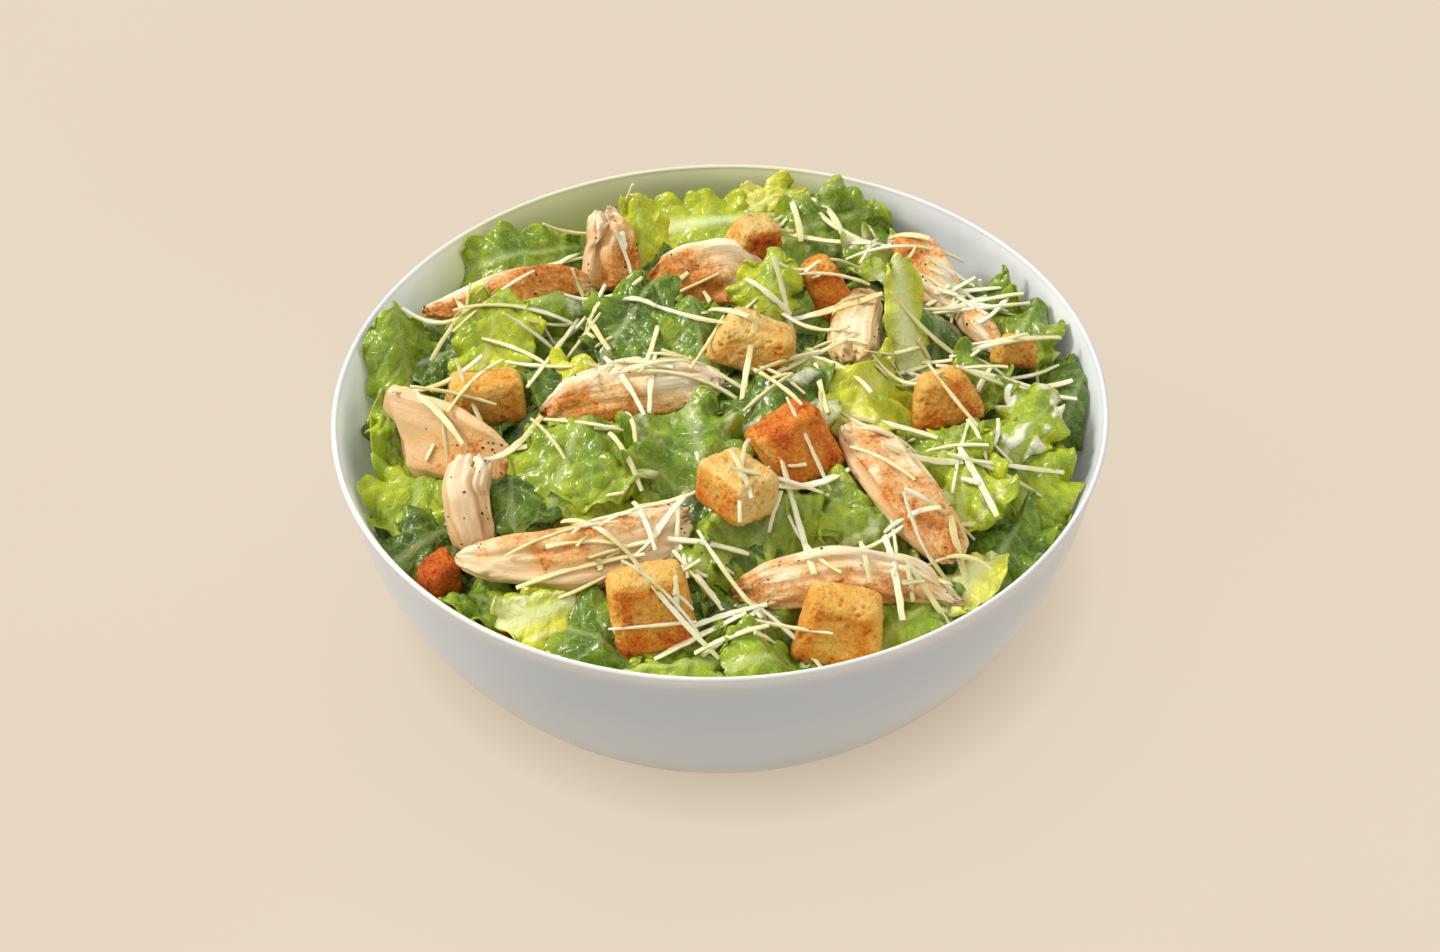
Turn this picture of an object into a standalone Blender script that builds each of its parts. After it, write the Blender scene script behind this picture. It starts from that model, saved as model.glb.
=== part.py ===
"""Chicken salad with romaine, bread croutons and a white ceramic bowl.

The bowl is one turned wall. The romaine is one heap that lies in it, and each crouton and each piece of
chicken is a solid of its own, bedded in the heap. Metres, +Z up, with the origin at the middle of the
bowl's foot. The side that faces the eater is -Y.
"""

import math
import random

import bmesh
import bpy
from mathutils import Euler, Vector
from mathutils.bvhtree import BVHTree

MM = 0.001

# Bowl: a coupe whose wall rises from a narrow foot and turns upright at the lip.
RIM_RADIUS = 110 * MM
RIM_HEIGHT = 82.5 * MM
FOOT_RADIUS = 0.59 * RIM_RADIUS
BELLY_RADIUS = 107 * MM
BELLY_HEIGHT = 33 * MM
WALL = 4.2 * MM
LIP_RADIUS = 2.2 * MM
LIP_OVERHANG = 1.6 * MM
FLOOR = 5.0 * MM
FLOOR_RADIUS = FOOT_RADIUS - 12 * MM
FOOT_RING = 6.0 * MM
FOOT_RECESS = 1.5 * MM
FOOT_BEVEL = 0.8 * MM
BOWL_STEPS = 64
WALL_STATIONS = 7
INNER_REACH = (0.10, 0.93)
OUTER_REACH = 0.95

# Clearances: between touching pieces, and from the heap's coarse surface to what lies on it.
GAP = 0.4 * MM
NEST_GAP = 0.8 * MM
NEST_REACH = 9 * MM
NEST_SPOTS = ((0.35, 6), (0.7, 10), (1.0, 14))
WALL_CLEARANCE = 1.2 * MM
UNDER_LIFT = 3.0 * MM
MERGE_DISTANCE = 0.01 * MM
HALVINGS = 40
SMOOTH_TO_DEGREES = 60
BLANK_HEIGHT = 2.0

# Romaine heap: a low dome that stops short of the wall, with a trench left free round the back.
CROWN_HEIGHT = 94 * MM
SEAT_HEIGHT = 56 * MM
HEAP_STEPS = 72
TOP_RINGS = 13
FLANK_RINGS = 3
UNDER_RINGS = 7
RING_SPACING = 0.9
RIPPLE = 2.0 * MM
RIPPLE_PERIODS = (9 * MM, 8 * MM, 6 * MM)

# Where the dome ends, by direction in degrees: its reach from the middle and its height there, in mm.
SHOULDER = (
    (-180, 99, 77),
    (-140, 99, 73),
    (-90, 101, 75),
    (-40, 100, 75),
    (0, 100, 79),
    (45, 92, 79),
    (90, 90, 83),
    (135, 86, 79),
    (160, 95, 80),
    (180, 99, 77),
)

# Croutons: name, middle, size, turn about Z and tilts about X and Y in degrees, taper of the upper face.
CROUTONS = (
    ("crouton_01", (-66, 5, 82), (23, 15, 13), (9, -8, 4), 0.86),
    ("crouton_02", (11, 65, 86), (19, 15, 18), (24, 6, 12), 0.60),
    ("crouton_03", (32, 41, 89), (12, 14, 18), (16, -18, -20), 0.74),
    ("crouton_04", (11, 10, 95), (25, 16, 13), (-14, -10, 14), 0.76),
    ("crouton_05", (63, -4, 86), (21, 15, 14), (8, -16, -8), 0.62),
    ("crouton_06", (86, 19, 82), (14, 9, 9), (8, -14, 14), 0.74),
    ("crouton_07", (20, -31, 92), (20, 16, 18), (30, -30, -12), 0.92),
    ("crouton_08", (4, -48, 93), (16, 19, 13), (38, -4, 6), 0.92),
    ("crouton_09", (-20, -80, 80), (22, 13, 21), (10, -22, -6), 0.88),
    ("crouton_10", (31, -83, 74), (24, 15, 19), (-8, -14, 8), 0.80),
    ("crouton_11", (-78, -56, 71), (11, 11, 11), (35, 6, 6), 0.80),
    ("crouton_12", (-60, -68, 66), (12, 10, 10), (0, 12, 12), 0.82),
)
CROUTON_BEVEL = 2.4 * MM
CORNER_WANDER = 0.9 * MM

# Chicken: name, middle, heading about Z, pitch and roll in degrees, then sections from tail to head as
# (distance along, half width, half thickness, sideways, upwards).
CHICKEN = (
    ("chicken_01", (-62, 51, 80), (8, -4, 28),
     ((-24, 4, 4, 0, -2), (-13, 8, 6, 0, 0), (3, 10, 7, 1, 2), (16, 9, 6, 0, 1), (24, 5, 4, -1, -1))),
    ("chicken_02", (-31, 66, 86), (80, 36, 0),
     ((-10, 8, 6, 0, 0), (-4, 9, 7, 0, 1), (5, 9, 7, 1, 0), (12, 5, 4, 2, -1))),
    ("chicken_03", (-4, 44, 88), (6, -2, 14),
     ((-20, 4, 4, 2, -2), (-11, 9, 6, 1, 1), (2, 11, 7, 0, 2), (11, 9, 6, -1, 1), (18, 5, 4, -3, -1))),
    ("chicken_04", (-25, -7, 94), (5, 2, 10),
     ((-26, 5, 4, -5, -3), (-15, 10, 7, -1, 1), (0, 13, 8, 0, 2), (14, 12, 7, 1, 1), (26, 6, 4, 0, -2))),
    ("chicken_05", (-75, -16, 82), (-20, -2, 22),
     ((-19, 9, 4, 2, 0), (-10, 10, 5, 1, 1), (4, 9, 6, 0, 1), (14, 8, 5, -1, 0), (19, 5, 4, -2, -1))),
    ("chicken_06", (-69, -41, 82), (93, 20, 0),
     ((-10, 4, 4, 0, 1), (-5, 6, 5, 0, 1), (3, 8, 6, 0, 1), (9, 7, 4, 0, 0))),
    ("chicken_07", (-39, -62, 84), (4, 4, 22),
     ((-32, 4, 3, 0, -3), (-20, 9, 6, 0, 0), (-4, 11, 8, 0, 2), (14, 11, 8, 0, 1), (30, 7, 5, 0, -2))),
    ("chicken_08", (53, -44, 86), (-56, -12, 6),
     ((-27, 8, 4, 0, 0), (-14, 9, 6, 0, 1), (2, 9, 6, 0, 2), (15, 8, 5, 0, 1), (26, 5, 4, 1, 0))),
    ("chicken_09", (33, -65, 80), (0, -3, 12),
     ((-32, 6, 3, -9, -3), (-18, 8, 5, -2, 0), (0, 9, 6, 2, 3), (18, 8, 6, -2, 1), (30, 4, 3, -9, -4))),
    ("chicken_10", (62, 60, 82), (110, 12, 0),
     ((-12, 6, 5, 1, -1), (-6, 8, 7, 0, 1), (6, 9, 7, 0, 2), (15, 6, 5, 0, 0))),
    ("chicken_11", (78, 34, 77), (104, 6, 8),
     ((-12, 4, 4, 0, -1), (-5, 6, 5, 0, 0), (4, 6, 5, 0, 1), (10, 4, 4, 0, 0))),
    ("chicken_12", (42, 21, 89), (98, -2, 0),
     ((-13, 6, 4, 0, -1), (-4, 7, 6, 0, 1), (6, 6, 6, 0, 1), (13, 4, 4, 0, 0))),
)
TIP_LENGTH = 1.5 * MM
STRIP_SIDES = 10
STRIP_RINGS = 8
STRIP_SQUARENESS = 2.6


def clear_scene():
    for old in list(bpy.data.objects):
        bpy.data.objects.remove(old)


def material(name, colour, roughness, metallic=0.0):
    made = bpy.data.materials.new(name)
    made.use_nodes = True
    shader = made.node_tree.nodes["Principled BSDF"]
    shader.inputs["Base Color"].default_value = (*colour, 1.0)
    shader.inputs["Roughness"].default_value = roughness
    shader.inputs["Metallic"].default_value = metallic
    made.diffuse_color = (*colour, 1.0)
    return made


def add_object(name, mesh, collection, finish):
    made = bpy.data.objects.new(name, mesh)
    collection.objects.link(made)
    mesh.materials.append(finish)
    return made


def mesh_from(name, shape):
    mesh = bpy.data.meshes.new(name)
    shape.to_mesh(mesh)
    shape.free()
    return mesh


def shade_smooth(mesh):
    mesh.shade_smooth()
    mesh.set_sharp_from_angle(angle=math.radians(SMOOTH_TO_DEGREES))


def wall_point(t):
    """The outer wall from foot (t = 0) to lip (t = 1): a curve that turns from sloping to upright."""
    top_radius = RIM_RADIUS - LIP_OVERHANG
    radius = (1 - t) ** 2 * FOOT_RADIUS + 2 * t * (1 - t) * BELLY_RADIUS + t * t * top_radius
    height = 2 * t * (1 - t) * BELLY_HEIGHT + t * t * RIM_HEIGHT
    return radius, height


def inner_radius(height):
    """The inner wall's radius at a height, by halving the stretch of the wall that holds it."""
    low, high = 0.0, 1.0
    for _ in range(HALVINGS):
        middle = (low + high) / 2
        if wall_point(middle)[1] < height:
            low = middle
        else:
            high = middle
    return wall_point(low)[0] - WALL


def turned(name, profile, steps, collection, finish):
    """A closed body turned from a profile that begins and ends on the axis and goes down its outer side."""
    mesh = bpy.data.meshes.new(name)
    points = [(radius, 0.0, height) for radius, height in profile]
    edges = [(i, i + 1) for i in range(len(points) - 1)]
    mesh.from_pydata(points, edges, [])
    made = add_object(name, mesh, collection, finish)
    screw = made.modifiers.new("turn", "SCREW")
    screw.steps = steps
    screw.render_steps = steps
    screw.use_merge_vertices = True
    screw.merge_threshold = MERGE_DISTANCE
    screw.use_smooth_shade = True
    return made


def bowl_profile():
    """From the middle of the inside, up the wall, over the rolled lip and down to the ringed foot."""
    inner = [(0.0, FLOOR), (FLOOR_RADIUS, FLOOR)]
    low, high = INNER_REACH
    for i in range(WALL_STATIONS):
        t = low + (high - low) * i / (WALL_STATIONS - 1)
        radius, height = wall_point(t)
        inner.append((radius - WALL, height + FLOOR * (1 - t) ** 2))
    lip = []
    for degrees in (180, 135, 90, 45, 0, -45):
        angle = math.radians(degrees)
        radius = RIM_RADIUS + LIP_RADIUS * (math.cos(angle) - 1)
        lip.append((radius, RIM_HEIGHT + LIP_RADIUS * (math.sin(angle) - 1)))
    outer = [wall_point(OUTER_REACH * (1 - i / WALL_STATIONS)) for i in range(WALL_STATIONS)]
    foot = [
        (FOOT_RADIUS, FOOT_BEVEL),
        (FOOT_RADIUS - FOOT_BEVEL, 0.0),
        (FOOT_RADIUS - FOOT_RING, 0.0),
        (FOOT_RADIUS - FOOT_RING - FOOT_RECESS, FOOT_RECESS),
        (0.0, FOOT_RECESS),
    ]
    return inner + lip + outer + foot


def make_bowl(collection):
    glaze = material("white_glaze", (0.86, 0.87, 0.88), 0.12)
    return turned("bowl", bowl_profile(), BOWL_STEPS, collection, glaze)


def make_crouton(name, middle, size, turns, taper, collection, finish, dice):
    """A diced piece of bread: a block with a smaller upper face, uneven corners and worn edges."""
    shape = bmesh.new()
    bmesh.ops.create_cube(shape, size=1.0)
    for corner in shape.verts:
        scale = taper if corner.co.z > 0 else 1.0
        corner.co.x *= size[0] * MM * scale
        corner.co.y *= size[1] * MM * scale
        corner.co.z *= size[2] * MM
        corner.co += Vector([dice.uniform(-1, 1) * CORNER_WANDER for _ in range(3)])
    mesh = mesh_from(name, shape)
    made = add_object(name, mesh, collection, finish)
    made.location = Vector(middle) * MM
    made.rotation_euler = Euler([math.radians(a) for a in (turns[1], turns[2], turns[0])])
    worn = made.modifiers.new("worn_edges", "BEVEL")
    worn.width = CROUTON_BEVEL
    worn.segments = 2
    worn.limit_method = "NONE"
    mesh.shade_smooth()
    return made


def eased(share):
    """A share of the way from 0 to 1, slow at both ends."""
    return share * share * (3 - 2 * share)


def section_at(sections, along):
    """The strip's section at a distance along it, smoothly between the sections that are given."""
    i = 0
    while i < len(sections) - 2 and sections[i + 1][0] < along:
        i += 1
    share = eased((along - sections[i][0]) / (sections[i + 1][0] - sections[i][0]))
    return [a + (b - a) * share for a, b in zip(sections[i][1:], sections[i + 1][1:])]


def rounded_section(width, thickness, sides):
    points = []
    for i in range(sides):
        angle = 2 * math.pi * (i + 0.5) / sides
        c, s = math.cos(angle), math.sin(angle)
        reach = (abs(c) ** STRIP_SQUARENESS + abs(s) ** STRIP_SQUARENESS) ** (-1 / STRIP_SQUARENESS)
        points.append((width * c * reach, thickness * s * reach))
    return points


def make_chicken(name, middle, turns, sections, collection, finish):
    """A torn strip of breast meat: a loft through unlike rounded sections, closed by a point at each end."""
    shape = bmesh.new()
    start, end = sections[0][0], sections[-1][0]
    rings = []
    for i in range(STRIP_RINGS):
        along = start + (end - start) * i / (STRIP_RINGS - 1)
        width, thickness, side, rise = section_at(sections, along)
        ring = []
        for y, z in rounded_section(width, thickness, STRIP_SIDES):
            ring.append(shape.verts.new((along * MM, (y + side) * MM, (z + rise) * MM)))
        rings.append(ring)
    for near, far in zip(rings, rings[1:]):
        for i in range(STRIP_SIDES):
            j = (i + 1) % STRIP_SIDES
            shape.faces.new((near[i], near[j], far[j], far[i]))
    for ring, sign in ((rings[0], -1), (rings[-1], 1)):
        centre = sum((v.co for v in ring), Vector()) / STRIP_SIDES
        tip = shape.verts.new(centre + Vector((sign * TIP_LENGTH, 0, 0)))
        for i in range(STRIP_SIDES):
            shape.faces.new((ring[i], ring[(i + 1) % STRIP_SIDES], tip))
    bmesh.ops.recalc_face_normals(shape, faces=shape.faces)
    mesh = mesh_from(name, shape)
    made = add_object(name, mesh, collection, finish)
    made.location = Vector(middle) * MM
    heading, pitch, roll = (math.radians(a) for a in turns)
    made.rotation_euler = Euler((roll, -pitch, heading))
    shade_smooth(mesh)
    return made


def world_tree(piece, graph):
    evaluated = piece.evaluated_get(graph)
    mesh = bpy.data.meshes.new_from_object(evaluated)
    mesh.transform(piece.matrix_world)
    points = [v.co.copy() for v in mesh.vertices]
    faces = [list(p.vertices) for p in mesh.polygons]
    bpy.data.meshes.remove(mesh)
    return BVHTree.FromPolygons(points, faces)


def underside(trees, x, y, reach):
    """The lowest underside of the pieces that lie within reach of a place on the heap."""
    lowest = math.inf
    spots = [(0.0, 0.0)]
    for ring, count in NEST_SPOTS:
        for i in range(count):
            angle = 2 * math.pi * i / count
            spots.append((ring * reach * math.cos(angle), ring * reach * math.sin(angle)))
    for dx, dy in spots:
        start = Vector((x + dx, y + dy, 0.0))
        for tree in trees:
            hit = tree.ray_cast(start, Vector((0, 0, 1)))[0]
            if hit is not None:
                lowest = min(lowest, hit.z)
    return lowest


def shoulder_at(angle):
    """The dome's reach and height at its end in a direction, eased between the directions given."""
    degrees = math.degrees(angle)
    for (a, *near), (b, *far) in zip(SHOULDER, SHOULDER[1:]):
        if a <= degrees <= b:
            share = eased((degrees - a) / (b - a))
            return [(m + (n - m) * share) * MM for m, n in zip(near, far)]
    return [m * MM for m in SHOULDER[0][1:]]


def heap_top(x, y):
    """The dome's height, with the ripples that the leaves make in it."""
    reach, shoulder_height = shoulder_at(math.atan2(y, x))
    dome = CROWN_HEIGHT - (CROWN_HEIGHT - shoulder_height) * (math.hypot(x, y) / reach) ** 2
    a, b, c = RIPPLE_PERIODS
    wave = math.sin(x / a + 1.3) * math.cos(y / b) + 0.6 * math.sin((x + 1.7 * y) / c)
    return dome + RIPPLE * wave


def heap_blank(collection, finish, rings):
    """A turned blank of the heap, a plain drum whose rings are told apart by their even drop."""
    profile = [(0.0, BLANK_HEIGHT)]
    profile += [(1.0, BLANK_HEIGHT * (1 - i / rings)) for i in range(1, rings)]
    profile.append((0.0, 0.0))
    blank = turned("heap_blank", profile, HEAP_STEPS, collection, finish)
    graph = bpy.context.evaluated_depsgraph_get()
    mesh = bpy.data.meshes.new_from_object(blank.evaluated_get(graph))
    bpy.data.objects.remove(blank)
    return mesh


def heap_station(station, rings, angle):
    """Where a ring of the blank goes: the dome, then the flank down to the wall, then the bowl's inside."""
    reach, shoulder_height = shoulder_at(angle)
    foot_height = FLOOR + GAP
    seat_radius = inner_radius(SEAT_HEIGHT) - WALL_CLEARANCE
    if station == 0:
        return 0.0, heap_top(0.0, 0.0)
    if station <= TOP_RINGS:
        radius = reach * (station / TOP_RINGS) ** RING_SPACING
        return radius, heap_top(radius * math.cos(angle), radius * math.sin(angle))
    if station <= TOP_RINGS + FLANK_RINGS:
        share = (station - TOP_RINGS) / FLANK_RINGS
        height = shoulder_height + (SEAT_HEIGHT - shoulder_height) * share
        return reach + (seat_radius - reach) * share, height
    if station < rings:
        share = (station - TOP_RINGS - FLANK_RINGS) / UNDER_RINGS
        height = SEAT_HEIGHT + (foot_height + UNDER_LIFT - SEAT_HEIGHT) * share
        return inner_radius(height - UNDER_LIFT) - WALL_CLEARANCE - UNDER_LIFT * share, height
    return 0.0, foot_height


def make_heap(collection, pieces):
    """The romaine heap: a turned blank moved to its form, its top lowered to bed each piece."""
    rings = TOP_RINGS + FLANK_RINGS + UNDER_RINGS
    leaf = material("romaine", (0.23, 0.42, 0.07), 0.45)
    mesh = heap_blank(collection, leaf, rings)
    graph = bpy.context.evaluated_depsgraph_get()
    trees = [world_tree(piece, graph) for piece in pieces]
    for vert in mesh.vertices:
        station = round((1 - vert.co.z / BLANK_HEIGHT) * rings)
        angle = math.atan2(vert.co.y, vert.co.x)
        radius, height = heap_station(station, rings, angle)
        x, y = radius * math.cos(angle), radius * math.sin(angle)
        if station <= TOP_RINGS + FLANK_RINGS:
            height = min(height, underside(trees, x, y, NEST_REACH) - NEST_GAP)
        vert.co = (x, y, height)
    mesh.name = "romaine_heap"
    heap = bpy.data.objects.new("romaine_heap", mesh)
    collection.objects.link(heap)
    shade_smooth(mesh)
    return heap


def main():
    clear_scene()
    salad = bpy.data.collections.new("chicken_salad")
    bpy.context.scene.collection.children.link(salad)
    dice = random.Random(11)
    make_bowl(salad)
    crust = material("toasted_bread", (0.62, 0.30, 0.09), 0.8)
    meat = material("roast_chicken", (0.72, 0.47, 0.27), 0.55)
    pieces = [make_crouton(*row, salad, crust, dice) for row in CROUTONS]
    pieces += [make_chicken(*row, salad, meat) for row in CHICKEN]
    bpy.context.view_layer.update()
    make_heap(salad, pieces)


main()
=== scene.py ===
import logging
import math
import random
from dataclasses import dataclass, field
from enum import Enum
from typing import Callable, Optional, Sequence

import bpy
import numpy as np
from mathutils import Matrix, Vector, noise
from mathutils.bvhtree import BVHTree


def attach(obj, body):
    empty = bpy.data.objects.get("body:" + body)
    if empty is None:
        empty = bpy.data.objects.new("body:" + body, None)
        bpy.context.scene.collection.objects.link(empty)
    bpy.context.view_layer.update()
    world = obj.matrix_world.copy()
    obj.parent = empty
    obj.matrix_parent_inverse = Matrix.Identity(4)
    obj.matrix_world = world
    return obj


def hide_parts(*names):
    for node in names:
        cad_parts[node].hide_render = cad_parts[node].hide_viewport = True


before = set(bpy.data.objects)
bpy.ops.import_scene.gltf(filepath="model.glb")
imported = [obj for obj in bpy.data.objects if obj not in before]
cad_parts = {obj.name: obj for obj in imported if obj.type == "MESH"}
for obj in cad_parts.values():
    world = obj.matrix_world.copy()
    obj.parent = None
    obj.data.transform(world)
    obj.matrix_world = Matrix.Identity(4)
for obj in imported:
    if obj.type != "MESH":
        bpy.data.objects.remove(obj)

LOG = logging.getLogger("salad")
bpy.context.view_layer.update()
BODY = "root"
MM = 0.001
GOLDEN_ANGLE = 2.39996
ABOVE_ALL = 0.3
UP = Vector((0, 0, 1))
DOWN = -UP
Triple = tuple[float, float, float]


# ---------------------------------------------------------------- small tools


def srgb(red: float, green: float, blue: float) -> tuple[float, float, float, float]:
    """Turn a screen colour, 0 to 255 a channel, into the linear colour a shader takes.

    Args:
        red: Red channel.
        green: Green channel.
        blue: Blue channel.

    Returns:
        Linear red, green and blue with an alpha of one.
    """
    def linear(channel: float) -> float:
        """Undo the screen's gamma."""
        share = channel / 255
        return share / 12.92 if share <= 0.04045 else ((share + 0.055) / 1.055) ** 2.4

    return linear(red), linear(green), linear(blue), 1.0


def smooth_step(low: float, high: float, value: np.ndarray) -> np.ndarray:
    """Ease from 0 at low to 1 at high.

    Args:
        low: Where the step begins.
        high: Where the step ends.
        value: Values to ease.

    Returns:
        The eased values.
    """
    share = np.clip((value - low) / (high - low), 0, 1)
    return share * share * (3 - 2 * share)


def deselect() -> None:
    """Leave nothing selected and no piece active."""
    if bpy.context.object and bpy.context.object.mode != "OBJECT":
        bpy.ops.object.mode_set(mode="OBJECT")
    bpy.ops.object.select_all(action="DESELECT")
    bpy.context.view_layer.objects.active = None


def select_only(piece: bpy.types.Object) -> None:
    """Select one piece and make it active.

    Args:
        piece: Piece to select.
    """
    deselect()
    piece.select_set(True)
    bpy.context.view_layer.objects.active = piece


def points_of(piece: bpy.types.Object) -> np.ndarray:
    """Read a piece's points.

    Args:
        piece: Piece to read.

    Returns:
        Rows of x, y and z in metres.
    """
    found = np.empty(len(piece.data.vertices) * 3)
    piece.data.vertices.foreach_get("co", found)
    return found.reshape(-1, 3)


def move_points(piece: bpy.types.Object, points: np.ndarray) -> None:
    """Put a piece's points at new places."""
    piece.data.vertices.foreach_set("co", points.astype(np.float32).ravel())
    piece.data.update()


def normals_of(piece: bpy.types.Object) -> np.ndarray:
    """Read which way a piece's surface faces at each point.

    Args:
        piece: Piece to read.

    Returns:
        Rows of outward directions.
    """
    found = np.empty(len(piece.data.vertices) * 3, dtype=np.float32)
    piece.data.vertex_normals.foreach_get("vector", found)
    return found.reshape(-1, 3).astype(float)


def unit_rows(rows: np.ndarray) -> np.ndarray:
    """Bring each row to a length of one."""
    return rows / np.linalg.norm(rows, axis=1)[:, None]


def paint(piece: bpy.types.Object, name: str, values: np.ndarray) -> None:
    """Store one number, or one direction, for each point of a piece, which its material reads.

    Args:
        piece: Piece to mark.
        name: Name the material asks for.
        values: One row for each point.
    """
    kind, key = ("FLOAT", "value") if values.ndim == 1 else ("FLOAT_VECTOR", "vector")
    layer = piece.data.attributes.new(name, kind, "POINT")
    layer.data.foreach_set(key, values.astype(np.float32).ravel())


def grain(points: np.ndarray, step: float | Triple, seed: float) -> np.ndarray:
    """Sample smooth noise at each point.

    Args:
        points: Rows of x, y and z.
        step: Size of the noise, or its sizes along x, y and z, in the same unit.
        seed: Shift that gives another pattern.

    Returns:
        Values from about -1 to 1.
    """
    scaled = points / np.asarray(step, float) + seed * 17.31
    return np.fromiter((noise.noise(row) for row in scaled.tolist()), float, len(scaled))


def cells(points: np.ndarray, step: float | Triple, seed: float) -> tuple[np.ndarray, np.ndarray]:
    """Sample a pattern of cells at each point.

    Args:
        points: Rows of x, y and z.
        step: Size of a cell, or its sizes along x, y and z, in the same unit.
        seed: Shift that gives another pattern.

    Returns:
        Distance to the nearest cell middle, and how much further the next one is.
    """
    scaled = (points / np.asarray(step, float) + seed * 9.73).tolist()
    found = [noise.voronoi(row)[0] for row in scaled]
    near = np.array([distances[0] for distances in found])
    return near, np.array([distances[1] for distances in found]) - near


def face_outwards(piece: bpy.types.Object, merge: float = 0.0) -> None:
    """Turn a closed piece's faces outwards.

    Args:
        piece: Piece to mend.
        merge: Points nearer than this, in metres, are merged first.
    """
    select_only(piece)
    bpy.ops.object.mode_set(mode="EDIT")
    bpy.ops.mesh.select_all(action="SELECT")
    if merge:
        bpy.ops.mesh.remove_doubles(threshold=merge)
    bpy.ops.mesh.normals_make_consistent(inside=False)
    bpy.ops.object.mode_set(mode="OBJECT")


def use_modifier(piece: bpy.types.Object, kind: str, **settings: object) -> None:
    """Add a modifier to a piece and apply it.

    Args:
        piece: Piece to change.
        kind: Blender's name for the modifier.
        **settings: The modifier's own settings.
    """
    select_only(piece)
    bpy.ops.object.modifier_add(type=kind)
    added = piece.modifiers[-1]
    for key, value in settings.items():
        setattr(added, key, value)
    bpy.ops.object.modifier_apply(modifier=added.name)


def join_pieces(pieces: Sequence[bpy.types.Object], name: str) -> bpy.types.Object:
    """Join pieces into one mesh under a name.

    Args:
        pieces: Pieces to join, all at the origin.
        name: Name of the result.

    Returns:
        The joined piece.
    """
    select_only(pieces[0])
    for piece in pieces[1:]:
        piece.select_set(True)
    if len(pieces) > 1:
        bpy.ops.object.join()
    joined = bpy.context.view_layer.objects.active
    joined.name = name
    joined.data.name = name
    return joined


def copy_of_node(node: str, name: str) -> bpy.types.Object:
    """Copy a CAD node's mesh as a new welded piece and leave the node as it is.

    Args:
        node: CAD node to copy.
        name: Name of the new piece.

    Returns:
        The new piece, not yet parented to a body.
    """
    deselect()
    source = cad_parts[node]
    made = bpy.data.objects.new(name, source.data.copy())
    made.data.materials.clear()
    bpy.context.scene.collection.objects.link(made)
    made.matrix_world = Matrix.Identity(4)
    face_outwards(made, merge=0.01 * MM)
    return made


def hand_over(piece: bpy.types.Object, slot: str, finish: bpy.types.Material, *nodes: str) -> None:
    """Dress a finished piece, set it on the body and hide the CAD nodes it replaces.

    Args:
        piece: Finished piece.
        slot: Name of its material slot, which is only logged.
        finish: Material to wear.
        *nodes: CAD nodes that the piece replaces.
    """
    piece.data.materials.clear()
    piece.data.materials.append(finish)
    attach(piece, BODY)
    if nodes:
        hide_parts(*nodes)
    LOG.info("%s: %d faces, %s", piece.name, len(piece.data.polygons), slot)


# ---------------------------------------------------------------- finishes


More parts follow.
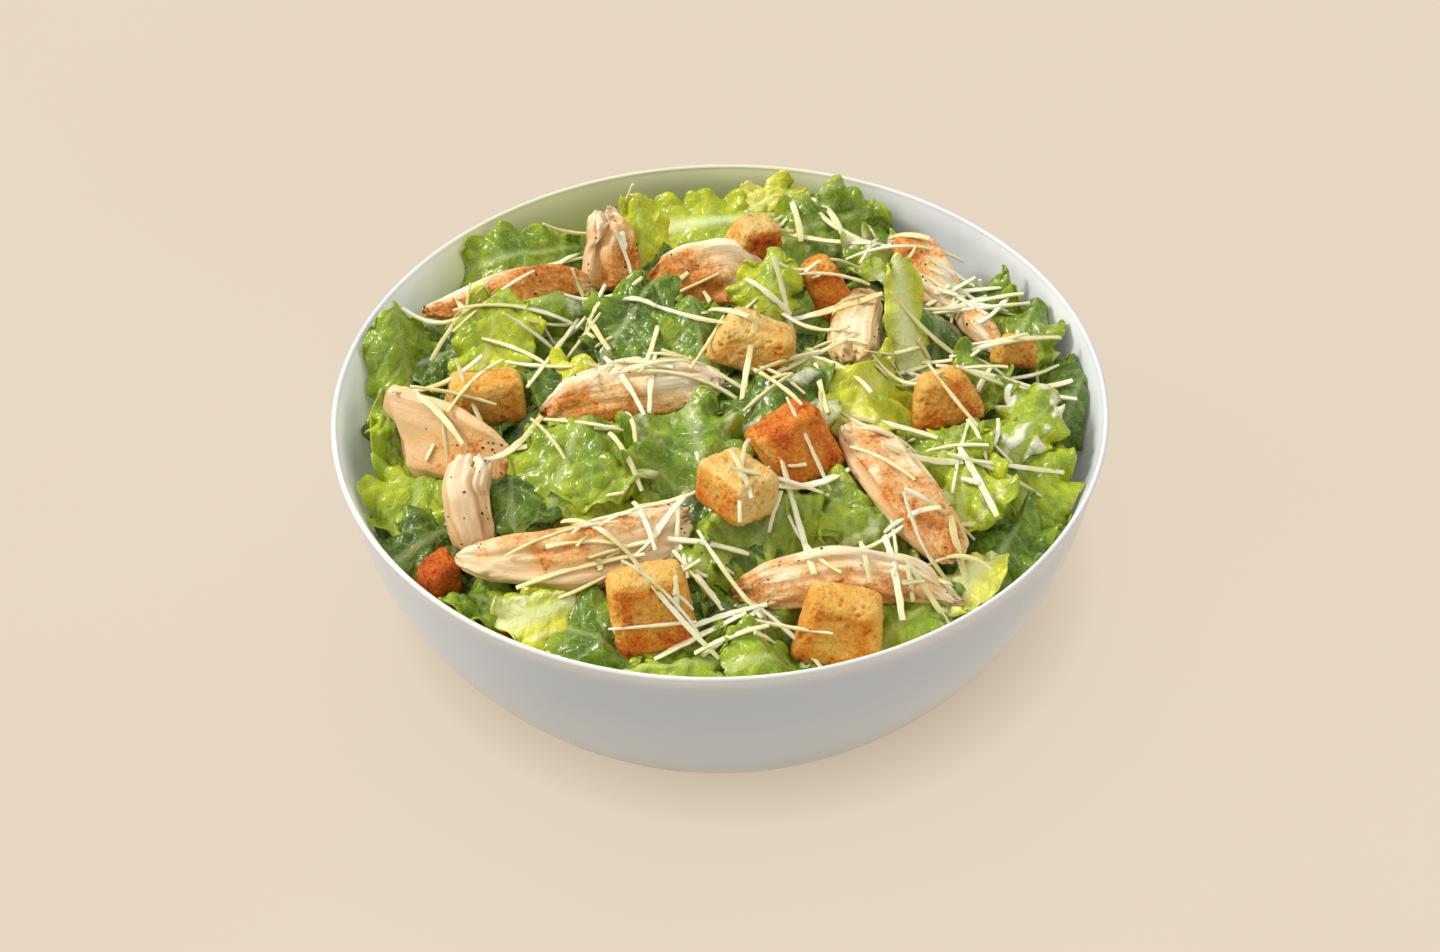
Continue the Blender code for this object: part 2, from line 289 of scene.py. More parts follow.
class Board:
    """Lays out the shader nodes of one finish."""

    def __init__(self, name: str) -> None:
        """Start a material with its one shader.

        Args:
            name: Name of the material.
        """
        self.material = bpy.data.materials.new(name)
        self.material.use_nodes = True
        self.tree = self.material.node_tree
        self.shader = self.tree.nodes["Principled BSDF"]
        self.place = self.tree.nodes.new("ShaderNodeTexCoord").outputs["Object"]

    def feed(self, socket: bpy.types.NodeSocket, value: object) -> None:
        """Link a socket to another one, or set it to a plain value.

        Args:
            socket: Socket to set.
            value: Another node's socket, or a value.
        """
        if isinstance(value, bpy.types.NodeSocket):
            self.tree.links.new(value, socket)
        else:
            socket.default_value = value

    def mark(self, name: str, vector: bool = False) -> bpy.types.NodeSocket:
        """Read a number or direction that is stored on the mesh.

        Args:
            name: Name it is stored under.
            vector: Whether it is a direction.

        Returns:
            The value's socket.
        """
        node = self.tree.nodes.new("ShaderNodeAttribute")
        node.attribute_name = name
        return node.outputs["Vector" if vector else "Fac"]

    def noise(self, scale: float, detail: float = 4, rough: float = 0.55, warp: float = 0,
              place: Optional[bpy.types.NodeSocket] = None) -> bpy.types.NodeSocket:
        """Add smooth noise.

        Args:
            scale: Patterns to the metre, or to the unit of place.
            detail: Number of finer layers.
            rough: Strength of the finer layers.
            warp: How far the pattern is bent.
            place: Coordinates, or None for the piece's own.

        Returns:
            A value of about 0.3 to 0.7.
        """
        node = self.tree.nodes.new("ShaderNodeTexNoise")
        self.feed(node.inputs["Vector"], place or self.place)
        node.inputs["Scale"].default_value = scale
        node.inputs["Detail"].default_value = detail
        node.inputs["Roughness"].default_value = rough
        node.inputs["Distortion"].default_value = warp
        return node.outputs["Fac"]

    def cells(self, scale: float, edges: bool = False) -> bpy.types.NodeSocket:
        """Add a pattern of cells.

        Args:
            scale: Cells to the metre.
            edges: Give the distance to the cell's edge, not to its middle.

        Returns:
            The distance.
        """
        node = self.tree.nodes.new("ShaderNodeTexVoronoi")
        node.feature = "DISTANCE_TO_EDGE" if edges else "F1"
        self.feed(node.inputs["Vector"], self.place)
        node.inputs["Scale"].default_value = scale
        return node.outputs["Distance"]

    def span(self, value: bpy.types.NodeSocket, low: float, high: float,
             start: float = 0, end: float = 1) -> bpy.types.NodeSocket:
        """Map a value from low and high to start and end, and hold it there beyond.

        Args:
            value: Value to map.
            low: Value that gives start.
            high: Value that gives end.
            start: Result at low.
            end: Result at high.

        Returns:
            The mapped value.
        """
        node = self.tree.nodes.new("ShaderNodeMapRange")
        for name, number in zip(("Value", "From Min", "From Max", "To Min", "To Max"),
                                (value, low, high, start, end)):
            self.feed(node.inputs[name], number)
        return node.outputs["Result"]

    def reach(self, middle: Triple) -> bpy.types.NodeSocket:
        """Measure how far the surface is from a place in the piece's own coordinates.

        Args:
            middle: Place to measure from, in metres.

        Returns:
            The distance.
        """
        node = self.tree.nodes.new("ShaderNodeVectorMath")
        node.operation = "DISTANCE"
        self.feed(node.inputs[0], self.place)
        self.feed(node.inputs[1], middle)
        return node.outputs["Value"]

    def plus(self, first: object, second: object) -> bpy.types.NodeSocket:
        """Add two numbers, each a socket or a plain value."""
        return self.joined("ADD", first, second)

    def times(self, first: object, second: object) -> bpy.types.NodeSocket:
        """Multiply two numbers, each a socket or a plain value."""
        return self.joined("MULTIPLY", first, second)

    def joined(self, how: str, first: object, second: object) -> bpy.types.NodeSocket:
        """Work out one number from two.

        Args:
            how: Blender's name for the operation.
            first: First number or socket.
            second: Second number or socket.

        Returns:
            The result.
        """
        node = self.tree.nodes.new("ShaderNodeMath")
        node.operation = how
        self.feed(node.inputs[0], first)
        self.feed(node.inputs[1], second)
        return node.outputs["Value"]

    def ramp(self, value: bpy.types.NodeSocket,
             stops: Sequence[tuple[float, Triple]]) -> bpy.types.NodeSocket:
        """Turn a value into a colour.

        Args:
            value: Value from 0 to 1.
            stops: Positions with their screen colours.

        Returns:
            The colour.
        """
        node = self.tree.nodes.new("ShaderNodeValToRGB")
        points = node.color_ramp.elements
        while len(points) < len(stops):
            points.new(0.5)
        for point, (position, colour) in zip(points, stops):
            point.position = position
            point.color = srgb(*colour)
        self.feed(node.inputs["Fac"], value)
        return node.outputs["Color"]

    def mix(self, share: object, under: object, over: object) -> bpy.types.NodeSocket:
        """Lay one colour over another.

        Args:
            share: How much of the upper one shows.
            under: Lower colour, as a socket or a screen colour.
            over: Upper colour, as a socket or a screen colour.

        Returns:
            The colour.
        """
        node = self.tree.nodes.new("ShaderNodeMix")
        node.data_type = "RGBA"
        self.feed(node.inputs["Factor"], share)
        for key, value in (("A", under), ("B", over)):
            socket = [s for s in node.inputs if s.name == key and s.type == "RGBA"][0]
            self.feed(socket, srgb(*value) if isinstance(value, tuple) else value)
        return [s for s in node.outputs if s.type == "RGBA"][0]

    def relief(self, height: bpy.types.NodeSocket, depth: float, strength: float = 1,
               under: Optional[bpy.types.NodeSocket] = None) -> bpy.types.NodeSocket:
        """Add fine relief to the surface.

        Args:
            height: Height, 0 to 1.
            depth: Depth that a height of one stands for, in millimetres.
            strength: How much of it shows.
            under: Coarser relief to add it to.

        Returns:
            The surface direction.
        """
        node = self.tree.nodes.new("ShaderNodeBump")
        node.inputs["Strength"].default_value = strength
        node.inputs["Distance"].default_value = depth * MM
        self.feed(node.inputs["Height"], height)
        if under:
            self.feed(node.inputs["Normal"], under)
        return node.outputs["Normal"]

    def shine(self, **values: object) -> None:
        """Set the shader's own sockets by their names, with _ for a space."""
        for key, value in values.items():
            self.feed(self.shader.inputs[key.replace("_", " ")], value)


@dataclass(frozen=True)
class Glaze:
    """White gloss glaze of the bowl, with painted green bounce light from the leaves inside and painted
    bluish shade outside, darkest towards the foot.
    """

    body: Triple = (232, 233, 234)
    thin: Triple = (218, 222, 225)
    # Below: the first colour is painted bluish shade on the outer wall, the second painted shade towards
    # the foot, and the green pair painted bounce light from the leaves on the inner wall.
    cool_shade: Triple = (198, 207, 218)
    low: Triple = (160, 170, 181)
    green: tuple[Triple, Triple] = ((226, 224, 178), (196, 214, 104))
    speck: Triple = (190, 190, 186)
    roughness: tuple[float, float] = (0.16, 0.25)

    def material(self) -> bpy.types.Material:
        """Build the glaze.

        Returns:
            The material.
        """
        board = Board("bowl_glaze")
        cloud = board.noise(34, 3)
        colour = board.mix(board.span(cloud, 0.38, 0.66), self.body, self.thin)
        # Painted bluish shade over the outer wall.
        colour = board.mix(board.mark("outer"), colour, self.cool_shade)
        # Painted shade, darker towards the foot.
        colour = board.mix(board.mark("low"), colour, self.low)
        # Painted green bounce light from the leaves on the inner wall, greener lower down.
        green = board.mix(board.mark("depth"), *self.green)
        colour = board.mix(board.mark("inner"), colour, green)
        speck = board.span(board.cells(420), 0.03, 0.07, 1, 0)
        colour = board.mix(board.times(speck, 0.12), colour, self.speck)
        gloss = board.span(board.noise(60, 3), 0.35, 0.65, *self.roughness)
        wave = board.relief(board.noise(26, 2), 0.12, 0.5)
        board.shine(Base_Color=colour, Roughness=gloss, Normal=wave,
                    Coat_Weight=board.span(board.mark("low"), 0, 1, 0.35, 0.04), Coat_Roughness=0.06,
                    Specular_IOR_Level=board.span(board.mark("low"), 0, 1, 0.5, 0.12))
        return board.material


@dataclass(frozen=True)
class Romaine:
    """Leaf flesh, from deep green to pale heart, with veins and wet dressing."""

    tones: tuple[tuple[float, Triple], ...] = (
        (0.00, (40, 64, 12)),
        (0.25, (90, 122, 20)),
        (0.50, (152, 173, 30)),
        (0.75, (206, 208, 36)),
        (1.00, (236, 228, 118)),
    )
    vein: Triple = (198, 214, 138)
    rib: Triple = (226, 232, 180)
    cream: Triple = (246, 243, 214)

    def material(self) -> bpy.types.Material:
        """Build the leaf finish.

        Returns:
            The material.
        """
        board = Board("romaine")
        blotch = board.span(board.noise(90, 4), 0.3, 0.7, -0.13, 0.13)
        fine = board.span(board.noise(700, 3), 0.3, 0.7, -0.05, 0.05)
        tone = board.plus(board.mark("tone"), board.plus(blotch, fine))
        colour = board.ramp(tone, self.tones)
        net = board.span(board.cells(330, edges=True), 0.0, 0.10, 1, 0)
        finer = board.span(board.cells(900, edges=True), 0.0, 0.12, 1, 0)
        lines = board.plus(board.times(net, 0.15),
                          board.times(finer, 0.07))
        veins = board.plus(board.times(board.mark("vein"), 0.42), lines)
        colour = board.mix(board.span(veins, 0, 1), colour, self.vein)
        colour = board.mix(board.span(board.mark("rib"), 0.1, 0.95, 0, 0.9), colour, self.rib)
        drip = board.plus(board.mark("film"),
                         board.span(board.noise(420, 3, 0.5), 0.3, 0.7, -0.22, 0.22))
        cream = board.span(drip, 0.30, 0.95, 0, 0.88)
        colour = board.mix(cream, colour, self.cream)
        gloss = board.span(board.noise(500, 2), 0.35, 0.65, 0.16, 0.36)
        gloss = board.times(gloss, board.span(cream, 0, 0.5, 1, 0.6))
        coarse = board.relief(net, 0.22, 0.55)
        coarse = board.relief(cream, 0.35, 0.8, coarse)
        normal = board.relief(board.noise(1500, 3), 0.10, 0.5, coarse)
        board.shine(Base_Color=colour, Roughness=gloss, Normal=normal,
                    Subsurface_Weight=0.4, Subsurface_Radius=(0.9, 1.0, 0.2),
                    Subsurface_Scale=1.3 * MM, Specular_IOR_Level=0.4, Coat_Weight=0.22,
                    Coat_Roughness=0.09)
        return board.material


@dataclass(frozen=True)
class Toast:
    """Fried bread, from pale crumb to dark crust, with painted shade in its pores."""

    tones: tuple[tuple[float, Triple], ...] = (
        (0.00, (252, 218, 140)),
        (0.25, (247, 190, 88)),
        (0.50, (239, 148, 50)),
        (0.75, (216, 98, 26)),
        (1.00, (150, 52, 12)),
    )
    pore_shade: Triple = (146, 72, 24)
    herb: Triple = (78, 50, 24)

    def material(self) -> bpy.types.Material:
        """Build the toasted bread.

        Returns:
            The material.
        """
        board = Board("toasted_bread")
        blotch = board.span(board.noise(170, 4, 0.6), 0.3, 0.7, -0.16, 0.16)
        grit = board.span(board.noise(1300, 4, 0.75), 0.3, 0.7, -0.22, 0.22)
        rough = board.times(board.plus(blotch, grit),
                          board.span(board.mark("toast_and_shade"), 0, 0.6, 0.4, 0.95))
        # The brownness mark holds toasting and painted light and shade.
        colour = board.ramp(board.plus(board.mark("toast_and_shade"), rough), self.tones)
        # Painted shade in the pores, which the relief below also dents.
        hole = board.span(board.cells(900), 0.16, 0.34, 1, 0)
        dark = board.times(hole, board.span(board.noise(420, 2), 0.45, 0.6, 0, 0.5))
        colour = board.mix(dark, colour, self.pore_shade)
        herb = board.span(board.cells(330), 0.03, 0.045, 1, 0)
        colour = board.mix(board.times(herb, 0.55), colour, self.herb)
        coarse = board.relief(board.noise(900, 4, 0.8), 0.9, 1.0)
        normal = board.relief(hole, 0.25, 0.5, coarse)
        board.shine(Base_Color=colour, Roughness=board.span(grit, -0.2, 0.2, 0.46, 0.7),
                    Normal=normal, Subsurface_Weight=0.12,
                    Subsurface_Radius=(1.0, 0.5, 0.2), Subsurface_Scale=1.4 * MM,
                    Specular_IOR_Level=0.28)
        return board.material


@dataclass(frozen=True)
class Roast:
    """Roast chicken: pale fibrous flesh with browned, seasoned skin."""

    flesh: tuple[tuple[float, Triple], ...] = (
        (0.0, (188, 144, 92)),
        (0.5, (230, 193, 145)),
        (1.0, (252, 238, 206)),
    )
    sear: tuple[tuple[float, Triple], ...] = (
        (0.0, (240, 174, 84)),
        (0.5, (222, 130, 40)),
        (1.0, (148, 68, 16)),
    )
    golden: Triple = (242, 190, 112)
    pepper: Triple = (58, 34, 20)

    def material(self) -> bpy.types.Material:
        """Build the roast finish.

        Returns:
            The material.
        """
        board = Board("roast_chicken")
        along = board.mark("grain", vector=True)
        strands = board.noise(1, 4, 0.6, 0.4, along)
        lines = board.times(board.span(strands, 0.3, 0.7, -0.25, 0.25), board.mark("fibre"))
        # The pale mark holds the flesh's own paleness, painted light on upward faces and painted shade in
        # the grooves.
        pale = board.plus(lines, board.mark("pale"))
        colour = board.ramp(pale, self.flesh)
        grit = board.span(board.noise(950, 4, 0.75), 0.3, 0.7, -0.42, 0.42)
        blotch = board.span(board.noise(220, 4, 0.6), 0.3, 0.7, -0.35, 0.35)
        uneven = board.plus(grit, blotch)
        burnt = board.ramp(board.plus(uneven, 0.42), self.sear)
        edge = board.plus(board.mark("sear"), board.times(uneven, 0.5))
        colour = board.mix(board.span(edge, 0.05, 0.4, 0, 0.8), colour, self.golden)
        colour = board.mix(board.span(edge, 0.3, 0.75, 0, 0.97), colour, burnt)
        fleck = board.span(board.cells(560), 0.06, 0.10, 1, 0)
        some = board.span(board.noise(120, 2), 0.52, 0.6)
        colour = board.mix(board.times(fleck, board.times(some, 0.85)), colour, self.pepper)
        coarse = board.relief(board.times(strands, board.mark("fibre")), 0.9, 0.9)
        skin = board.relief(board.times(grit, board.mark("sear")), 0.5, 0.9, coarse)
        normal = board.relief(board.noise(1600, 3, 0.6), 0.18, 0.6, skin)
        gloss = board.span(board.noise(400, 3), 0.35, 0.65, 0.34, 0.58)
        board.shine(Base_Color=colour, Roughness=gloss, Normal=normal,
                    Subsurface_Weight=0.14, Subsurface_Radius=(0.9, 0.6, 0.35),
                    Subsurface_Scale=1.6 * MM, Specular_IOR_Level=0.42, Coat_Weight=0.08,
                    Coat_Roughness=0.3)
        return board.material


@dataclass(frozen=True)
class Cheese:
    """Hard grated cheese, cream with darker dry patches."""

    tones: tuple[tuple[float, Triple], ...] = (
        (0.0, (226, 214, 150)),
        (0.5, (240, 231, 182)),
        (1.0, (250, 246, 216)),
    )

    def material(self) -> bpy.types.Material:
        """Build the cheese.

        Returns:
            The material.
        """
        board = Board("grated_cheese")
        tone = board.plus(board.span(board.noise(240, 4), 0.3, 0.7, -0.3, 0.3),
                         board.span(board.noise(45, 2), 0.35, 0.65))
        colour = board.ramp(tone, self.tones)
        normal = board.relief(board.noise(2200, 3, 0.6), 0.12, 0.6)
        board.shine(Base_Color=colour, Roughness=board.span(board.noise(800, 2), 0.3, 0.7, 0.36, 0.55),
                    Normal=normal, Subsurface_Weight=0.45, Subsurface_Radius=(1.0, 0.85, 0.5),
                    Subsurface_Scale=1.0 * MM)
        return board.material


@dataclass(frozen=True)
class Pepper:
    """Cracked pepper, nearly black with brown faces."""

    tones: tuple[tuple[float, Triple], ...] = ((0.0, (34, 24, 18)), (1.0, (92, 62, 38)))

    def material(self) -> bpy.types.Material:
        """Build the pepper.

        Returns:
            The material.
        """
        board = Board("cracked_pepper")
        colour = board.ramp(board.span(board.noise(900, 2), 0.3, 0.7), self.tones)
        board.shine(Base_Color=colour, Normal=board.relief(board.noise(3000, 2), 0.1, 0.6),
                    Roughness=board.span(board.noise(1200, 2), 0.3, 0.7, 0.55, 0.8))
        return board.material


# ---------------------------------------------------------------- bowl


@dataclass
class Bowl:
    """Ceramic bowl turned on its axis, all sizes in millimetres."""

    rim_radius: float = 110.0
    rim_height: float = 82.5
    foot_radius: float = 64.9
    belly_radius: float = 107.0
    belly_height: float = 33.0
    wall: float = 4.2
    lip_radius: float = 0.8
    thinning: float = 2.6
    lip_overhang: float = 1.6
    floor: float = 5.0
    floor_radius: float = 54.0
    floor_inset: float = 20.0
    foot_ring: float = 6.0
    foot_recess: float = 1.5
    foot_bevel: float = 0.8
    sides: int = 160
    wall_steps: int = 22
    wall_span: tuple[float, float] = (0.02, 0.985)
    inner_end: float = 0.025
    flare_from: float = 0.86
    smooth_angle: float = 50.0
    # Where painted green bounce light tints the inner wall, and where painted shade lies on the outer wall.
    bounce_green_height: tuple[float, float] = (83, 60)
    bounce_green_left: tuple[float, float] = (-66, -94)
    bounce_green_right: tuple[float, float] = (64, 18)
    cool_shade_height: tuple[float, float] = (81, 76)
    foot_shade_height: tuple[float, float] = (56, 10)

    def outer(self, share: float) -> tuple[float, float]:
        """Give the outer wall's radius and height.

        Args:
            share: 0 at the foot and 1 at the lip.

        Returns:
            Radius and height.
        """
        low, mid, high = (1 - share) ** 2, 2 * share * (1 - share), share * share
        radius = low * self.foot_radius + mid * self.belly_radius + high * (
            self.rim_radius - self.lip_overhang)
        flare = self.lip_overhang * max(0.0, (share - self.flare_from) / (1 - self.flare_from)) ** 2
        return radius + flare, mid * self.belly_height + high * self.rim_height

    def inner_radius(self, height: np.ndarray) -> np.ndarray:
        """Give the inner wall's radius.

        Args:
            height: Heights above the table.

        Returns:
            Radii at those heights.
        """
        shares = np.linspace(0, 1, 200)
        outer = np.array([self.outer(share) for share in shares])
        inner = outer[:, 0] - self.wall + self.thinning * shares ** 4
        return np.interp(height, outer[:, 1], inner)

    def profile(self) -> list[tuple[float, float]]:
        """Walk from the foot, up the outside, over the lip and down the inside.

        Returns:
            Radius and height of each ring.
        """
        ring = self.foot_radius - self.foot_ring
        rings = [(ring - self.foot_recess, self.foot_recess), (ring, 0.0),
                 (self.foot_radius - self.foot_bevel, 0.0)]
        for degrees in (30, 60, 90):
            angle = math.radians(degrees)
            rings.append((self.foot_radius - self.foot_bevel * (1 - math.sin(angle)),
                          self.foot_bevel * (1 - math.cos(angle))))
        rings += [self.outer(share) for share in np.linspace(*self.wall_span, self.wall_steps + 1)]
        for degrees in range(0, 181, 15):
            angle = math.radians(degrees)
            rings.append((self.rim_radius + self.lip_radius * (math.cos(angle) - 1),
                          self.rim_height + self.lip_radius * (math.sin(angle) - 1)))
        for share in np.linspace(self.wall_span[1], self.inner_end, self.wall_steps):
            radius, height = self.outer(share)
            wall = self.wall - self.thinning * share ** 4
            rings.append((radius - wall, height + self.floor * (1 - share) ** 2))
        rings.append((self.floor_radius, self.floor))
        return rings

    def build(self, finish: bpy.types.Material) -> bpy.types.Object:
        """Turn the bowl, ring by ring, and glaze it.

        Args:
            finish: Glaze.

        Returns:
            The bowl.
        """
        deselect()
        rings = self.profile()
        radius, height = rings[0]
        bpy.ops.mesh.primitive_circle_add(vertices=self.sides, radius=radius * MM,
                                          fill_type="NGON", location=(0, 0, height * MM))
        bowl = bpy.context.object
        bowl.name = "salad_bowl"
        bpy.ops.object.transform_apply(location=True, rotation=True, scale=True)
        bpy.ops.object.mode_set(mode="EDIT")
        bpy.ops.mesh.select_mode(type="EDGE")
        bpy.ops.mesh.select_all(action="DESELECT")
        bpy.ops.object.mode_set(mode="OBJECT")
        for edge in bowl.data.edges:
            edge.select = True
        bpy.ops.object.mode_set(mode="EDIT")
        for (r0, z0), (r1, z1) in zip(rings, rings[1:]):
            bpy.ops.mesh.extrude_edges_move(TRANSFORM_OT_translate={"value": (0, 0, (z1 - z0) * MM)})
            bpy.ops.transform.resize(value=(r1 / r0, r1 / r0, 1), center_override=(0, 0, z1 * MM))
        bpy.ops.mesh.edge_face_add()
        bpy.ops.mesh.inset(thickness=self.floor_inset * MM)
        bpy.ops.object.mode_set(mode="OBJECT")
        face_outwards(bowl)
        bpy.ops.object.shade_smooth_by_angle(angle=math.radians(self.smooth_angle))
        self.tint(bowl)
        hand_over(bowl, "bowl_glaze", finish, "bowl")
        return bowl

    def tint(self, bowl: bpy.types.Object) -> None:
        """Mark where painted green bounce light from the leaves tints the inside, and where painted bluish
        shade darkens the outside, most towards the foot.

        Args:
            bowl: Finished bowl.
        """
        points = points_of(bowl) / MM
        across, height = points[:, 0], points[:, 2]
        facing = (normals_of(bowl)[:, :2] * points[:, :2]).sum(1) / np.hypot(across, points[:, 1])
        inside, outside = smooth_step(0.0, -0.3, facing), smooth_step(0.0, 0.3, facing)
        depth = smooth_step(*self.bounce_green_height, height)
        far_left = smooth_step(*self.bounce_green_left, across) * (1 - 0.4 * depth)
        # Painted green bounce light on the inner wall.
        paint(bowl, "inner", inside * smooth_step(*self.bounce_green_right, across) * (1 - far_left))
        paint(bowl, "depth", depth)
        # Painted bluish shade on the outer wall, and painted shade darkening towards the foot.
        paint(bowl, "outer", outside * smooth_step(*self.cool_shade_height, height))
        paint(bowl, "low", outside * smooth_step(*self.foot_shade_height, height))


# ---------------------------------------------------------------- romaine


class Kind(Enum):
    """Ways in which a torn piece of romaine lies and grows."""

    SMOOTH = "smooth"
    CRINKLED = "crinkled"
    FRILLY = "frilly"
    HEART = "heart"
    RIB = "rib"
    PLEATED = "pleated"


@dataclass(frozen=True)
class Habit:
    """How one kind of leaf piece is shaped, in millimetres and degrees."""

    along: float
    across: float
    ruffle: float
    pucker: float
    pleat: float
    rib_width: float
    rib_thickness: float
    rib_show: float
    ragged: float


HABITS: dict[Kind, Habit] = {
    Kind.SMOOTH: Habit(78, 104, 1.6, 0.5, 0.6, 1.8, 1.3, 0.35, 0.12),
    Kind.CRINKLED: Habit(66, 84, 2.6, 1.9, 1.3, 2.0, 1.4, 0.45, 0.14),
    Kind.FRILLY: Habit(48, 56, 4.6, 1.3, 1.5, 1.8, 1.2, 0.40, 0.16),
    Kind.HEART: Habit(34, 56, 2.2, 1.0, 0.8, 3.6, 2.4, 0.90, 0.14),
    Kind.PLEATED: Habit(44, 62, 2.2, 0.7, 2.2, 1.8, 1.3, 0.40, 0.12),
    Kind.RIB: Habit(24, 74, 1.0, 0.3, 0.2, 5.2, 3.0, 1.00, 0.10),
}


@dataclass
class Leaf:
    """One torn piece of romaine, in millimetres and degrees."""

    place: Triple
    length: float
    width: float
    turn: Triple
    tone: float
    kind: Kind
    seed: int
    film: float = 0.0
    steps: tuple[int, int] = (52, 38)
    blade: float = 0.4
    blister: Triple = (5.6, 4.6, 5.0)
    vein_gap: float = 6.4
    vein_groove: float = 0.4
    rib_rise: float = 0.6
    lobe_gap: tuple[float, float] = (9.5, 13.0)
    tip_lobe_gap: float = 11.0
    frill_gap: float = 5.4
    billow: Triple = (17, 13, 16)
    billow_height: float = 4.2
    film_rise: float = 0.45

    def sheet(self) -> tuple[np.ndarray, dict[str, np.ndarray]]:
        """Shape the flat piece into its curled, ruffled form.

        Returns:
            Points in the leaf's own frame, and the marks that its finish reads.
        """
        habit = HABITS[self.kind]
        dice = random.Random(self.seed)
        flip = dice.choice((-1, 1))
        rib_at = dice.uniform(-0.28, 0.28) * self.width / 2
        nx, ny = self.steps
        s, t = (grid.ravel() for grid in np.meshgrid(np.linspace(0, 1, nx + 1), np.linspace(-1, 1, ny + 1)))
        x, y = self.torn(s, t)
        flat = np.stack([x, y, np.full_like(x, self.seed * 3.7)], 1)
        # Rib, blisters between the veins, and veins that run out from the rib.
        rib = np.exp(-((y - rib_at) / (habit.rib_width * (1.05 - 0.7 * s))) ** 2)
        swell = 1 - np.exp(-2.6 * cells(flat, self.blister, self.seed)[1])
        line = (x + 0.7 * np.abs(y - rib_at) + 2.0 * grain(flat, 9, self.seed + 6)) / self.vein_gap
        off = np.abs(line - np.floor(line) - 0.5) * 2
        vein = smooth_step(0.82, 1.0, off) * (1 - 0.7 * np.abs(t) ** 2)
        pleat = np.sqrt(np.clip(1 - off ** 2, 0, 1)) * (0.25 + np.abs(t)) * (1 - rib)
        # Lobes along the sides and the tip, with a finer frill on them.
        lobe = 2 * math.pi * x / dice.uniform(*self.lobe_gap) + 2.6 * grain(flat, 15, self.seed + 8) + 2 * t
        frill = 2 * math.pi * x / self.frill_gap + 3.0 * grain(flat, 7, self.seed + 9)
        turned = 2 * math.pi * y / self.tip_lobe_gap + 1.7 + 2 * grain(flat, 15, self.seed + 12)
        side, tip = np.abs(t) ** 2.4, np.clip(s, 0, 1) ** 6
        edge = np.clip(side + tip, 0, 1)
        height = habit.ruffle * edge * np.where(side > tip, np.sin(lobe), np.sin(turned))
        height += 0.34 * habit.ruffle * edge ** 2 * np.sin(frill)
        swing = habit.ruffle * edge ** 2
        x = x - 0.30 * swing * np.cos(lobe) * (side > tip)
        y = y - 0.30 * swing * np.cos(turned) * (side <= tip)
        y = y - 0.16 * swing * np.sign(t) * (1 + np.sin(frill))
        height += (habit.pucker * (swell - 0.45) - self.vein_groove * vein) * (1 - rib)
        height += habit.pleat * pleat + self.rib_rise * rib * habit.rib_show
        height += self.billow_height * grain(flat, self.billow, self.seed + 11)
        # Dressing runs in streaks.
        streak = grain(flat, (12, 4.5, 8), self.seed + 13) + 0.4 * grain(flat, (3.5, 2, 3), self.seed + 14)
        film = self.film * smooth_step(-0.12, 0.42, streak)
        height += self.film_rise * film
        y, height = self.bent(y, height, habit.across * dice.uniform(0.7, 1.3), self.width)
        x, height = self.bent(x, height, habit.along * dice.uniform(0.6, 1.4), self.length)
        paler = 0.10 * (swell - 0.5) + 0.24 * edge * (0.75 - self.tone) + 0.22 * (0.6 - s) * (1 - np.abs(t))
        marks = {
            "rib": rib * (1 - 0.35 * s) * habit.rib_show,
            "vein": vein * (1 - rib),
            "tone": np.clip(self.tone + paler, 0, 1),
            "film": film,
        }
        return np.stack([x, y * flip, height], 1), marks

    def torn(self, s: np.ndarray, t: np.ndarray) -> tuple[np.ndarray, np.ndarray]:
        """Give the piece its torn outline.

        Args:
            s: Places along it, 0 to 1.
            t: Places across it, -1 to 1.

        Returns:
            Along and across, in millimetres.
        """
        sides = np.stack([s * self.length, np.sign(t) * 31, 0 * s], 1)
        ends = np.stack([t * self.width / 2, np.sign(s - 0.5) * 40, 0 * s], 1)
        rough = grain(sides, 10, self.seed) + 0.3 * grain(sides, 4.2, self.seed + 2)
        body = np.sin(np.pi * np.clip(0.10 + 0.84 * s ** 0.9, 0, 1)) ** 0.5
        y = t * self.width / 2 * body * (1 + HABITS[self.kind].ragged * rough)
        tear = (4.0 * grain(ends, 9, self.seed + 4) + grain(ends, 4.6, self.seed)
                - 0.16 * self.width * t ** 2)
        x = (s - 0.5) * self.length + np.abs(2 * s - 1) ** 5 * np.sign(2 * s - 1) * tear
        return x, y

    @staticmethod
    def bent(run: np.ndarray, height: np.ndarray, degrees: float,
             length: float) -> tuple[np.ndarray, np.ndarray]:
        """Bend a sheet so that its ends go down.

        Args:
            run: Coordinate along the bend.
            height: Height over the flat sheet.
            degrees: How far it turns over its length.
            length: The sheet's length along the bend.

        Returns:
            The bent coordinate and height.
        """
        radius = length / math.radians(degrees) if abs(degrees) > 1 else length * 57
        angle = run / radius
        return (radius + height) * np.sin(angle), (radius + height) * np.cos(angle) - radius

